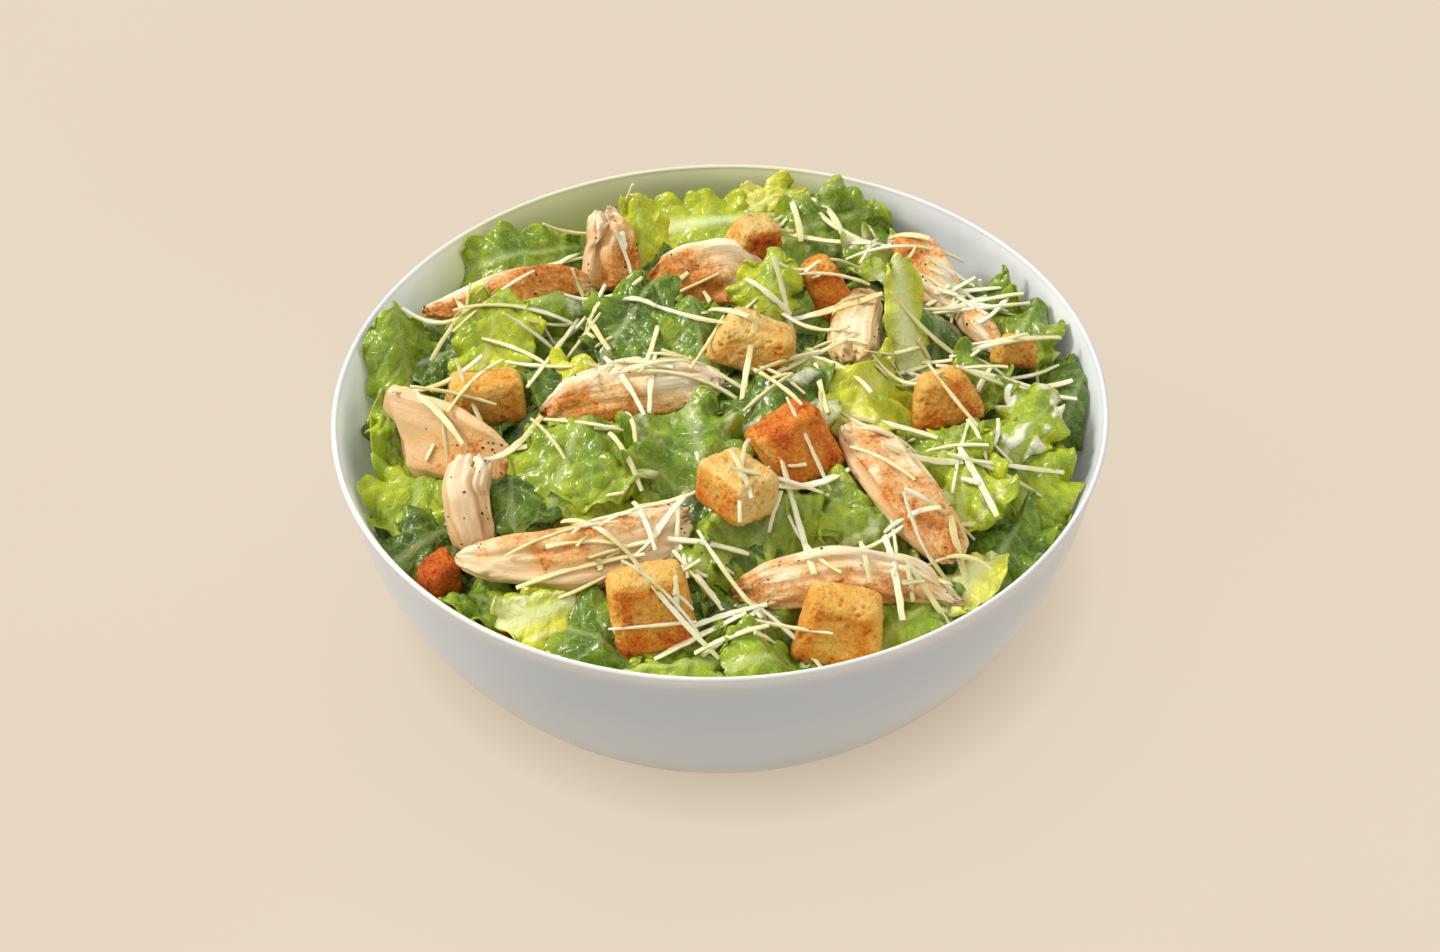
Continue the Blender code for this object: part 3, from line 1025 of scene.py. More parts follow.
    def build(self, settle: Callable[[np.ndarray], np.ndarray]) -> bpy.types.Object:
        """Make the leaf, lay it in the bowl and give it its thickness.

        Args:
            settle: Keeps the leaf's points off its neighbours.

        Returns:
            The leaf, with its place in its mesh.
        """
        deselect()
        nx, ny = self.steps
        bpy.ops.mesh.primitive_grid_add(x_subdivisions=nx, y_subdivisions=ny, size=1,
                                        calc_uvs=False, location=(0, 0, 0))
        leaf = bpy.context.object
        points, marks = self.sheet()
        heading, pitch, roll = (math.radians(angle) for angle in self.turn)
        lie = (Matrix.Rotation(heading, 3, "Z") @ Matrix.Rotation(-pitch, 3, "Y")
               @ Matrix.Rotation(roll, 3, "X"))
        points = (points @ np.array(lie).T + np.array(self.place)) * MM
        move_points(leaf, settle(points))
        if self.is_flipped():
            bpy.ops.object.mode_set(mode="EDIT")
            bpy.ops.mesh.select_all(action="SELECT")
            bpy.ops.mesh.flip_normals()
            bpy.ops.object.mode_set(mode="OBJECT")
        for name, values in marks.items():
            paint(leaf, name, values)
        habit = HABITS[self.kind]
        group = leaf.vertex_groups.new(name="rib")
        for index, value in enumerate(marks["rib"].tolist()):
            group.add((index,), value, "REPLACE")
        use_modifier(leaf, "SOLIDIFY", thickness=habit.rib_thickness * MM, offset=-1,
                     vertex_group="rib", thickness_vertex_group=self.blade / habit.rib_thickness,
                     use_even_offset=False)
        leaf.vertex_groups.clear()
        bpy.ops.object.shade_smooth()
        return leaf

    def is_flipped(self) -> bool:
        """Say whether the leaf was mirrored across its rib."""
        return random.Random(self.seed).choice((-1, 1)) < 0


@dataclass
class LeafBed:
    """The heap of romaine: a core and a bed of dark green leaves, kept dark as painted shade in the gaps,
    and the leaves that show on top.
    """

    bowl: Bowl
    crown: float = 96.0
    fall: float = 26.0
    core_depth: float = 13.0
    core_floor: float = 8.0
    core_shoulder: float = 6.0
    core_gap: float = 1.6
    bed_depth: float = 9.0
    bed_leaves: int = 52
    bed_reach: float = 95.0
    bed_steps: tuple[int, int] = (28, 22)
    # Dark green bed leaves, kept dark as painted shade in the gaps between the top leaves.
    bed_shade_tones: tuple[float, ...] = (0.02, 0.06, 0.10, 0.16, 0.24, 0.40)
    wall_gap: float = 0.9
    wall_top: float = 78.0
    lean_from: float = 80.0
    lean_height: float = 12.0
    lean: float = 0.25
    sink: float = 2.8
    drape: float = 1.2
    obstacles: list[tuple[BVHTree, np.ndarray, np.ndarray]] = field(default_factory=list)

    def surface(self, x: float, y: float) -> float:
        """Give the heap's height at a place, in millimetres."""
        return self.crown - self.fall * (x * x + y * y) / 1e4

    def note_obstacles(self, pieces: Sequence[bpy.types.Object]) -> None:
        """Remember the pieces that leaves pass under.

        Args:
            pieces: Bread and chicken.
        """
        for piece in pieces:
            points = points_of(piece)
            tree = BVHTree.FromPolygons(points.tolist(),
                                        [tuple(face.vertices) for face in piece.data.polygons])
            self.obstacles.append((tree, points.min(0), points.max(0)))

    def settle(self, points: np.ndarray) -> np.ndarray:
        """Keep a leaf inside the wall and under the bread and chicken.

        Args:
            points: The leaf's points in metres.

        Returns:
            The points where they may be.
        """
        points = points.copy()
        height = points[:, 2] / MM
        radius = np.hypot(points[:, 0], points[:, 1]) / MM
        limit = self.bowl.inner_radius(np.minimum(height, self.wall_top)) - self.wall_gap
        limit += np.clip(height - self.lean_from, 0, self.lean_height) * self.lean
        shrink = np.minimum(1, limit / np.maximum(radius, 1e-6))
        points[:, :2] *= shrink[:, None]
        drop = np.zeros(len(points))
        for tree, low, high in self.obstacles:
            inside = np.where((points[:, :2] > low[:2]).all(1) & (points[:, :2] < high[:2]).all(1))[0]
            for index in inside:
                x, y, z = points[index]
                spot = tree.ray_cast(Vector((x, y, ABOVE_ALL)), DOWN)[0]
                if spot is not None:
                    drop[index] = max(drop[index], z - spot.z + self.sink * MM)
        pressed = np.where(drop > 0)[0]
        if len(pressed):
            gap = np.linalg.norm(points[:, None, :2] - points[None, pressed, :2], axis=2)
            points[:, 2] -= np.maximum(0, drop[None, pressed] - self.drape * gap).max(1)
        return points

    def build_core(self, finish: bpy.types.Material) -> bpy.types.Object:
        """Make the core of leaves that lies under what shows.

        Args:
            finish: Leaf finish.

        Returns:
            The core, which stands for the CAD heap.
        """
        deselect()
        bpy.ops.mesh.primitive_uv_sphere_add(segments=96, ring_count=48, radius=1, calc_uvs=False)
        core = bpy.context.object
        points = points_of(core)
        flat = np.hypot(points[:, 0], points[:, 1])
        upper = points[:, 2] >= 0
        spread = np.where(flat > 1e-6, flat, 0) ** 0.8
        angle = np.arctan2(points[:, 1], points[:, 0])
        top = self.crown - self.core_depth - self.fall * spread ** 2
        rim = top[np.argmax(flat)] - self.core_shoulder
        height = np.where(upper, rim + (top - rim) * np.abs(points[:, 2]) ** 0.35,
                          self.core_floor + (rim - self.core_floor) * (1 - np.abs(points[:, 2]) ** 0.8))
        reach = (self.bowl.inner_radius(height) - self.core_gap) * np.where(upper, spread, flat ** 0.25)
        shaped = np.stack([reach * np.cos(angle), reach * np.sin(angle), height], 1)
        swell = grain(shaped, 13, 3) * 3.5 + grain(shaped, 5, 5) * 1.6
        shaped[:, 2] += np.where(upper, swell, 0)
        move_points(core, shaped * MM)
        core.name = "romaine_core"
        # The core is kept dark green as painted shade deep in the heap.
        paint(core, "tone", np.clip(0.10 + 0.12 * grain(shaped, 9, 8), 0, 1))
        for name in ("rib", "vein", "film"):
            paint(core, name, np.zeros(len(shaped)))
        bpy.ops.object.shade_smooth()
        hand_over(core, "romaine", finish, "romaine_heap")
        return core

    def bed(self) -> list[Leaf]:
        """Spread leaves over the whole core.

        Returns:
            The leaves that lie under the listed ones.
        """
        dice = random.Random(41)
        leaves = []
        for index in range(self.bed_leaves):
            reach = self.bed_reach * math.sqrt((index + 0.5) / self.bed_leaves)
            angle = index * GOLDEN_ANGLE + dice.uniform(-0.2, 0.2)
            x, y = reach * math.cos(angle), reach * math.sin(angle)
            tilt = math.degrees(math.atan(2 * self.fall * reach / 1e4))
            heading = math.degrees(angle) + dice.uniform(-70, 70)
            place = (x, y, self.surface(x, y) - self.bed_depth + dice.uniform(-2.5, 2.5))
            kind = dice.choice((Kind.CRINKLED, Kind.FRILLY, Kind.FRILLY, Kind.SMOOTH, Kind.HEART))
            tone = dice.choice(self.bed_shade_tones)
            leaves.append(Leaf(place, dice.uniform(38, 52), dice.uniform(30, 40),
                               (heading, -tilt + dice.uniform(-14, 14), dice.uniform(-16, 16)),
                               tone, kind, 100 + index, steps=self.bed_steps))
        return leaves

    def build(self, rows: Sequence[tuple], finish: bpy.types.Material) -> list[bpy.types.Object]:
        """Make every leaf and join them by where they lie.

        Args:
            rows: Group, place, length and width, turn, tone, kind and dressing of each leaf.
            finish: Leaf finish.

        Returns:
            The joined groups of leaves.
        """
        groups: dict[str, list[bpy.types.Object]] = {}
        for index, leaf in enumerate(self.bed()):
            groups.setdefault("under_a" if index % 2 else "under_b", []).append(leaf.build(self.settle))
        for index, (group, place, size, turn, tone, kind, film) in enumerate(rows):
            leaf = Leaf(place, *size, turn, tone, kind, index + 1, film)
            groups.setdefault(group, []).append(leaf.build(self.settle))
        made = []
        for name, leaves in groups.items():
            piece = join_pieces(leaves, f"romaine_{name}")
            hand_over(piece, "romaine", finish)
            made.append(piece)
        return made


S, C, F, H, R, P = Kind.SMOOTH, Kind.CRINKLED, Kind.FRILLY, Kind.HEART, Kind.RIB, Kind.PLEATED
# Group, middle, length and width, heading with pitch and roll, tone, kind and dressing of each leaf.
LEAVES: tuple[tuple, ...] = (
    ("left", (-91, 25, 79), (31, 27), (108, 40, 0), 0.40, S, 0.0),
    ("back", (-57, 72, 76), (42, 22), (10, 4, 34), 0.34, P, 0.0),
    ("left", (-48, 40, 88), (32, 28), (8, 0, 26), 0.36, S, 0.9),
    ("left", (-76, 28, 80), (34, 26), (20, 4, 22), 0.12, C, 0.3),
    ("left", (-64, 24, 87), (32, 24), (72, 24, 8), 0.60, P, 0.1),
    ("left", (-46, 5, 89), (32, 20), (-24, 0, 20), 0.80, H, 0.0),
    ("middle", (-22, 25, 93), (36, 30), (58, 14, 6), 0.18, C, 0.25),
    ("back", (-21, 66, 82), (42, 22), (96, 50, 0), 0.74, S, 0.0),
    ("back", (-3, 84, 80), (44, 24), (2, 2, 24), 0.56, H, 0.1),
    ("back", (17, 90, 83), (24, 16), (20, 8, 30), 0.86, C, 0.0),
    ("back", (30, 74, 82), (40, 28), (24, 4, 26), 0.36, F, 0.4),
    ("back", (38, 82, 77), (36, 26), (-20, 0, 26), 0.36, P, 0.3),
    ("middle", (14, 31, 97), (28, 25), (84, 40, 0), 0.62, S, 0.0),
    ("middle", (-6, 14, 94), (28, 24), (100, 18, 0), 0.26, S, 0.2),
    ("middle", (28, 6, 93), (20, 16), (30, 0, 20), 0.82, H, 0.0),
    ("back", (50, 62, 86), (26, 24), (70, 20, 0), 0.48, F, 0.9),
    ("right", (55, 23, 92), (34, 13), (100, 52, 0), 0.76, R, 0.0),
    ("right", (66, 23, 87), (36, 26), (80, 30, 0), 0.12, S, 0.2),
    ("middle", (40, -5, 95), (38, 32), (62, 14, 0), 0.74, C, 0.0),
    ("middle", (15, -13, 94), (38, 32), (30, 6, 16), 0.20, F, 0.7),
    ("left", (-41, -31, 91), (46, 40), (66, 18, -4), 0.42, C, 0.1),
    ("left", (-56, -42, 83), (34, 24), (92, 28, 0), 0.16, S, 0.0),
    ("middle", (-9, -36, 92), (50, 34), (-78, -18, 0), 0.30, F, 0.5),
    ("front", (9, -60, 87), (44, 34), (34, 10, 20), 0.44, C, 0.2),
    ("front", (11, -82, 80), (38, 28), (58, 24, 0), 0.18, S, 0.9),
    ("left", (-86, -22, 74), (42, 28), (84, 4, 0), 0.50, F, 0.0),
    ("left", (-91, -5, 77), (22, 18), (120, 30, 8), 0.52, F, 0.0),
    ("left", (-85, -44, 72), (28, 24), (40, 0, 6), 0.14, C, 0.0),
    ("front", (-66, -68, 76), (30, 24), (160, 10, 0), 0.34, F, 0.0),
    ("front", (-46, -78, 78), (32, 22), (22, 0, 30), 0.72, H, 0.6),
    ("front", (-38, -85, 76), (36, 28), (-28, 0, 22), 0.26, S, 0.0),
    ("front", (-14, -93, 76), (38, 24), (0, 0, 34), 0.44, C, 0.0),
    ("front", (12, -95, 76), (30, 20), (12, 0, 30), 0.40, C, 0.0),
    ("right", (63, -26, 86), (30, 24), (62, 10, 0), 0.46, C, 0.3),
    ("right", (86, -31, 75), (40, 32), (98, 16, -4), 0.50, F, 0.0),
    ("right", (86, -13, 86), (28, 24), (52, 14, 4), 0.52, S, 1.1),
    ("right", (98, 6, 77), (38, 30), (66, 22, -6), 0.16, S, 0.1),
    ("right", (87, 31, 76), (32, 27), (62, 18, 0), 0.34, F, 0.3),
    ("right", (68, -40, 82), (30, 22), (80, 10, 0), 0.56, F, 0.5),
    ("right", (78, -54, 74), (34, 26), (64, 10, -6), 0.26, F, 0.0),
    ("front", (37, -54, 85), (38, 28), (20, 0, 12), 0.42, F, 0.4),
    ("right", (67, -68, 76), (24, 15), (40, 10, 0), 0.85, R, 0.0),
    ("front", (53, -79, 74), (30, 24), (40, 0, 10), 0.40, F, 0.0),
    ("front", (-6, -70, 81), (40, 28), (-60, 0, 10), 0.05, S, 0.0),
    ("middle", (38, -44, 86), (20, 16), (0, 0, 20), 0.12, S, 0.0),
    ("right", (74, 3, 84), (24, 18), (60, 10, 0), 0.30, F, 0.0),
    ("right", (76, 46, 76), (26, 20), (44, 12, 0), 0.36, F, 0.3),
)


# ---------------------------------------------------------------- croutons


@dataclass
class Croutons:
    """Fried bread cubes, each browned differently on its top, left and right faces, partly by toasting and
    partly as painted light, with painted shade in the pores and towards the bottom.

    Lumps, grit and pores have their size and their height or depth, in millimetres.
    """

    voxel: float = 0.52
    puff: float = 0.4
    lumps: tuple[tuple[float, float], ...] = ((8.0, 0.36), (1.9, 0.22))
    grit: tuple[float, float] = (1.0, 0.38)
    pores: tuple[float, float] = (2.2, 0.9)
    faces: tuple[Triple, ...] = ((0.0, 0.0, 1.0), (-0.86, -0.5, 0.0), (0.62, -0.78, 0.0),
                                 (0.2, 0.98, 0.0), (0.0, 0.0, -1.0))
    # Brownness of the top, left and right faces of each cube; faces in shade are set paler, as painted
    # light.
    toast_and_shade: dict[str, Triple] = field(default_factory=lambda: {
        "crouton_01": (0.22, 0.14, 0.32),
        "crouton_02": (0.14, 0.22, 0.62),
        "crouton_03": (0.42, 0.50, 0.62),
        "crouton_04": (0.12, 0.20, 0.26),
        "crouton_05": (0.22, 0.30, 0.40),
        "crouton_06": (0.20, 0.26, 0.34),
        "crouton_07": (0.62, 0.42, 0.50),
        "crouton_08": (0.06, 0.36, 0.06),
        "crouton_09": (0.18, 0.32, 0.36),
        "crouton_10": (0.22, 0.38, 0.28),
        "crouton_11": (0.80, 0.80, 0.76),
        # crouton_12 lies buried among the leaves, and its dark levels are partly painted shade.
        "crouton_12": (0.80, 0.86, 0.82),
    })

    def build(self, finish: bpy.types.Material) -> list[bpy.types.Object]:
        """Roughen each cube and brown it, with painted light on its faces and painted shade in its pores
        and towards its bottom.

        Args:
            finish: Toasted bread.

        Returns:
            The croutons.
        """
        made = []
        for seed, (node, shades) in enumerate(self.toast_and_shade.items()):
            piece = copy_of_node(node, f"bread_{node}")
            use_modifier(piece, "REMESH", mode="VOXEL", voxel_size=self.voxel * MM)
            points, normals = points_of(piece) / MM, normals_of(piece)
            lump = sum(height * grain(points, size, seed) for size, height in self.lumps)
            grit = grain(points, self.grit[0], seed + 3)
            near = cells(points, self.pores[0], seed)[0]
            pore = smooth_step(0.40, 0.14, near) * smooth_step(-0.1, 0.25, grain(points, 4, seed))
            outwards = lump + self.grit[1] * grit - self.pores[1] * pore + self.puff
            move_points(piece, (points + normals * outwards[:, None]) * MM)
            # Face levels: toasting, and painted light that leaves faces in shade paler.
            tone = self.tone(self.rounded(points, normals), shades)
            # Browner in patches and on the grit, and painted shade in the pores.
            tone += 0.16 * grain(points, 6, seed + 5) + 0.14 * pore + 0.10 * grit
            tone += 0.22 * self.edges(points, normals)
            height = points[:, 2]
            # Painted shade: darker towards the bottom.
            tone += 0.18 * smooth_step(0.5, 0.0, (height - height.min()) / np.ptp(height))
            paint(piece, "toast_and_shade", np.clip(tone, 0, 1))
            bpy.ops.object.shade_smooth()
            hand_over(piece, "toasted_bread", finish, node)
            made.append(piece)
        return made

    @staticmethod
    def rounded(points: np.ndarray, normals: np.ndarray) -> np.ndarray:
        """Blend each point's direction with the way it lies from the middle.

        Args:
            points: The cube's points.
            normals: Their outward directions.

        Returns:
            Softer directions, one unit long.
        """
        return unit_rows(normals + 0.15 * unit_rows(points - points.mean(0)))

    @staticmethod
    def edges(points: np.ndarray, normals: np.ndarray) -> np.ndarray:
        """Find the cube's edges, where the outward direction and the way from the middle part.

        Args:
            points: The cube's points.
            normals: Their outward directions.

        Returns:
            About 1 at edges and corners and 0 in the middle of faces.
        """
        away = unit_rows(points - points.mean(0))
        return smooth_step(0.86, 0.62, (away * normals).sum(1))

    def tone(self, facing: np.ndarray, shades: Triple) -> np.ndarray:
        """Work out how brown each point is, from toasting and painted light.

        Args:
            facing: Directions.
            shades: Brownness of the top, left and right faces, set paler on faces in shade as painted
                light.

        Returns:
            Brownness from 0 to 1.
        """
        weight = np.clip(facing @ np.array(self.faces).T, 0, 1) ** 7 + 1e-6
        level = np.array([*shades, shades[1], shades[2]])
        return (weight * level).sum(1) / weight.sum(1)


# ---------------------------------------------------------------- chicken


CORNERS = 8


class Section(Enum):
    """Outlines of a strip: across and up, from the low back edge over the top to the front."""

    SLAB = ((-1, -0.8), (-1, 0.5), (-0.7, 1), (0.2, 1), (0.9, 0.7), (1, -0.2), (0.85, -1), (-0.4, -1))
    RIDGE = ((-1, -0.8), (-0.9, 0.1), (-0.4, 0.9), (0, 1), (0.45, 0.6), (1, -0.2), (0.9, -1), (0, -1))
    FACE = ((-1, -1), (-1, 0.3), (-0.75, 1), (-0.35, 1), (0.3, 0.25), (1, -0.6), (0.95, -1), (0, -1))
    ROUND = ((-0.9, -0.7), (-1, 0.2), (-0.6, 0.85), (0, 1), (0.6, 0.85), (1, 0.2), (0.9, -0.7), (0, -1))


@dataclass(frozen=True)
class Strip:
    """One strip of chicken, in millimetres and degrees.

    Each row of girth (half across, half up, roll) and each string of brown (a digit for each
    corner of the section, 9 the darkest) stands for one place along the spine. A groove is its
    place around the section, depth, width, and where along the strip it starts and ends.
    """

    spine: tuple[Triple, ...]
    section: Section
    girth: tuple[Triple, ...]
    brown: tuple[str, ...]
    pale: float
    fibre: float = 1.0
    blunt: tuple[float, float] = (3, 3)
    slant: tuple[float, float] = (0, 0)
    torn: tuple[float, float] = (1.0, 1.0)
    grooves: tuple[tuple[float, ...], ...] = ()
    wander: float = 1.0


STRIPS: dict[str, Strip] = {
    "chicken_01": Strip(
        ((-88, 49, 77), (-73, 50, 80), (-58, 53, 83), (-46, 56, 82.5), (-36, 57, 80)), Section.RIDGE,
        ((3.6, 3, 0), (5.8, 5, 0), (6.8, 5.8, 0), (6, 5.2, 0), (4.4, 3.8, 0)),
        ("00027984", "00008986", "00268985", "01798742", "00244200"), 0.85, 0.5, (2.4, 4),
        grooves=((3.1, 0.8, 0.5, 0.1, 0.5), (2.2, 0.9, 0.5, 0.5, 1.0))),
    "chicken_02": Strip(
        ((-31.5, 58, 75), (-31, 62, 81), (-31, 67, 88), (-32.5, 71, 95)), Section.SLAB,
        ((8.6, 6, 0), (8.6, 5.6, -8), (7.4, 5, -8), (5.4, 4.2, 0)),
        ("00197310", "00086200", "00055000", "00011000"), 0.52, 0.5, (6, 6), torn=(0.2, 1.6),
        grooves=((2.45, 2.2, 0.26, 0.1, 0.95), (4.0, 1.4, 0.22, 0.0, 0.6), (1.6, 0.8, 0.2, 0.5, 1.0))),
    "chicken_03": Strip(
        ((-19, 54, 81), (-8, 53, 83.5), (3, 55, 85), (13, 54, 82)), Section.FACE,
        ((6.5, 6.5, 0), (8.4, 8, 4), (8.6, 8, 6), (7, 6, 0)),
        ("02688885", "00069996", "00003996", "00001786"), 0.75, 0.8, (5, 5),
        grooves=((4.3, 0.6, 0.2, 0.1, 0.9), (4.8, 0.6, 0.2, 0.2, 1.0), (3.6, 0.7, 0.25, 0.3, 1.0))),
    "chicken_04": Strip(
        ((-51, -7, 85), (-39, -5, 90), (-24, -4, 92), (-10, -2, 91.5), (1, -3, 90)), Section.RIDGE,
        ((5, 4, 0), (9, 6.6, -6), (10.4, 7.6, -6), (9.4, 6.6, 0), (5.8, 4, 0)),
        ("00028830", "00029983", "00002796", "00000482", "00000010"), 0.85, 1.1, (4, 4.5),
        torn=(0.5, 1.8),
        grooves=((2.3, 0.8, 0.3, 0.3, 1.0), (3.35, 1.1, 0.3, 0.45, 1.0), (4.3, 0.8, 0.3, 0.6, 0.95))),
    # chicken_05 browns more towards its right end, partly as painted shade.
    "chicken_05": Strip(
        ((-90, -5, 80), (-80, -11, 81), (-69, -18, 81), (-57, -23, 80)), Section.FACE,
        ((9, 9.5, 4), (8.6, 8.6, 2), (7.4, 7, 0), (5.4, 5, 0)),
        ("00000000", "00012220", "00334443", "00445543"), 0.26, 0.2, (30, 4), (-8, 0), (0.1, 0.6),
        grooves=((3.1, 0.5, 0.4, 0.3, 0.9),)),
    "chicken_06": Strip(
        ((-67, -50, 74), (-69, -45, 80), (-70, -39, 86), (-68, -32, 91)), Section.SLAB,
        ((5.8, 4.2, 0), (6.4, 4.6, 4), (6.6, 4.6, 4), (6.2, 4.0, 0)),
        ("00000000", "00000000", "00000000", "00100000"), 0.56, 0.6, (8, 12), torn=(0.3, 1.5),
        grooves=((3.3, 1.1, 0.12, 0.0, 1.0), (3.9, 0.45, 0.10, 0.3, 1.0)),
        wander=0.5),
    "chicken_07": Strip(
        ((-74, -59, 80), (-59, -61, 82), (-40, -62, 83), (-24, -56, 83), (-9, -47, 82)), Section.RIDGE,
        ((5.0, 3.8, 0), (8, 5.4, 0), (10.2, 6.6, -4), (10, 6.6, -4), (8.4, 5.8, 0)),
        ("00000000", "00342000", "02564000", "00230000", "00000000"), 0.60, 0.7, (3.4, 7),
        torn=(0.4, 1.6),
        grooves=((3.7, 1.3, 0.2, 0.1, 0.5), (4.4, 0.5, 0.25, 0.3, 0.95))),
    "chicken_08": Strip(
        ((34, -19, 89), (42, -33, 90), (52, -49, 86), (64, -65, 79)), Section.SLAB,
        ((4.6, 3.4, 0), (8.8, 5.4, 6), (8.4, 5.2, 4), (6, 4.2, 0)),
        ("00021000", "00354000", "00465100", "01465310"), 0.70, 0.4, (3, 6), torn=(0.3, 0.8),
        grooves=((1.7, 1.4, 0.22, 0.12, 0.6), (4.2, 1.3, 0.3, 0.0, 0.6), (2.9, 0.5, 0.4, 0.4, 0.8))),
    "chicken_09": Strip(
        ((1, -68, 72), (16, -68, 78), (34, -68, 81.5), (50, -69, 79), (65, -74, 72)), Section.RIDGE,
        ((6, 4.4, 0), (8.2, 5.8, 0), (9, 6.4, 0), (7.4, 5.4, 0), (3, 2.6, 0)),
        ("03566642", "00122331", "00003650", "00002540", "00000100"), 0.74, 1.2, (4, 2.4),
        torn=(1.0, 1.4),
        grooves=((2.3, 0.9, 0.25, 0.3, 0.95), (3.2, 1.2, 0.25, 0.25, 1.0), (5.2, 1.2, 0.3, 0.3, 1.0))),
    "chicken_10": Strip(
        ((55, 72, 82), (60, 62, 82), (65, 52, 79), (70, 42, 76)), Section.SLAB,
        ((6, 4.5, 0), (7.4, 5.4, 0), (6.6, 5, 0), (4.4, 3.6, 0)),
        ("03788731", "01588400", "00111000", "00010000"), 0.68, 0.7, (4, 3),
        grooves=((3.0, 1.0, 0.3, 0.45, 1.0), (4.2, 1.4, 0.3, 0.35, 1.0), (2.0, 0.8, 0.3, 0.3, 0.9))),
    "chicken_11": Strip(
        ((71, 47, 77), (76, 37, 76.5), (82, 25, 75)), Section.ROUND,
        ((4, 3.4, 0), (4.4, 3.8, 0), (2.8, 2.4, 0)),
        ("00463000", "00353000", "00121000"), 0.66, 0.9, (3, 2.4)),
    "chicken_12": Strip(
        ((43, 44, 83), (41, 31, 87), (39, 21, 88), (38, 11, 86)), Section.SLAB,
        ((5, 4.2, 0), (7, 5, 0), (7.4, 5.2, 0), (6.4, 4.6, 0)),
        ("02465200", "01355300", "00202000", "00200000"), 0.58, 0.8, (5, 9), torn=(0.6, 1.6),
        grooves=((3.0, 0.5, 0.12, 0.2, 1.0),)),
}


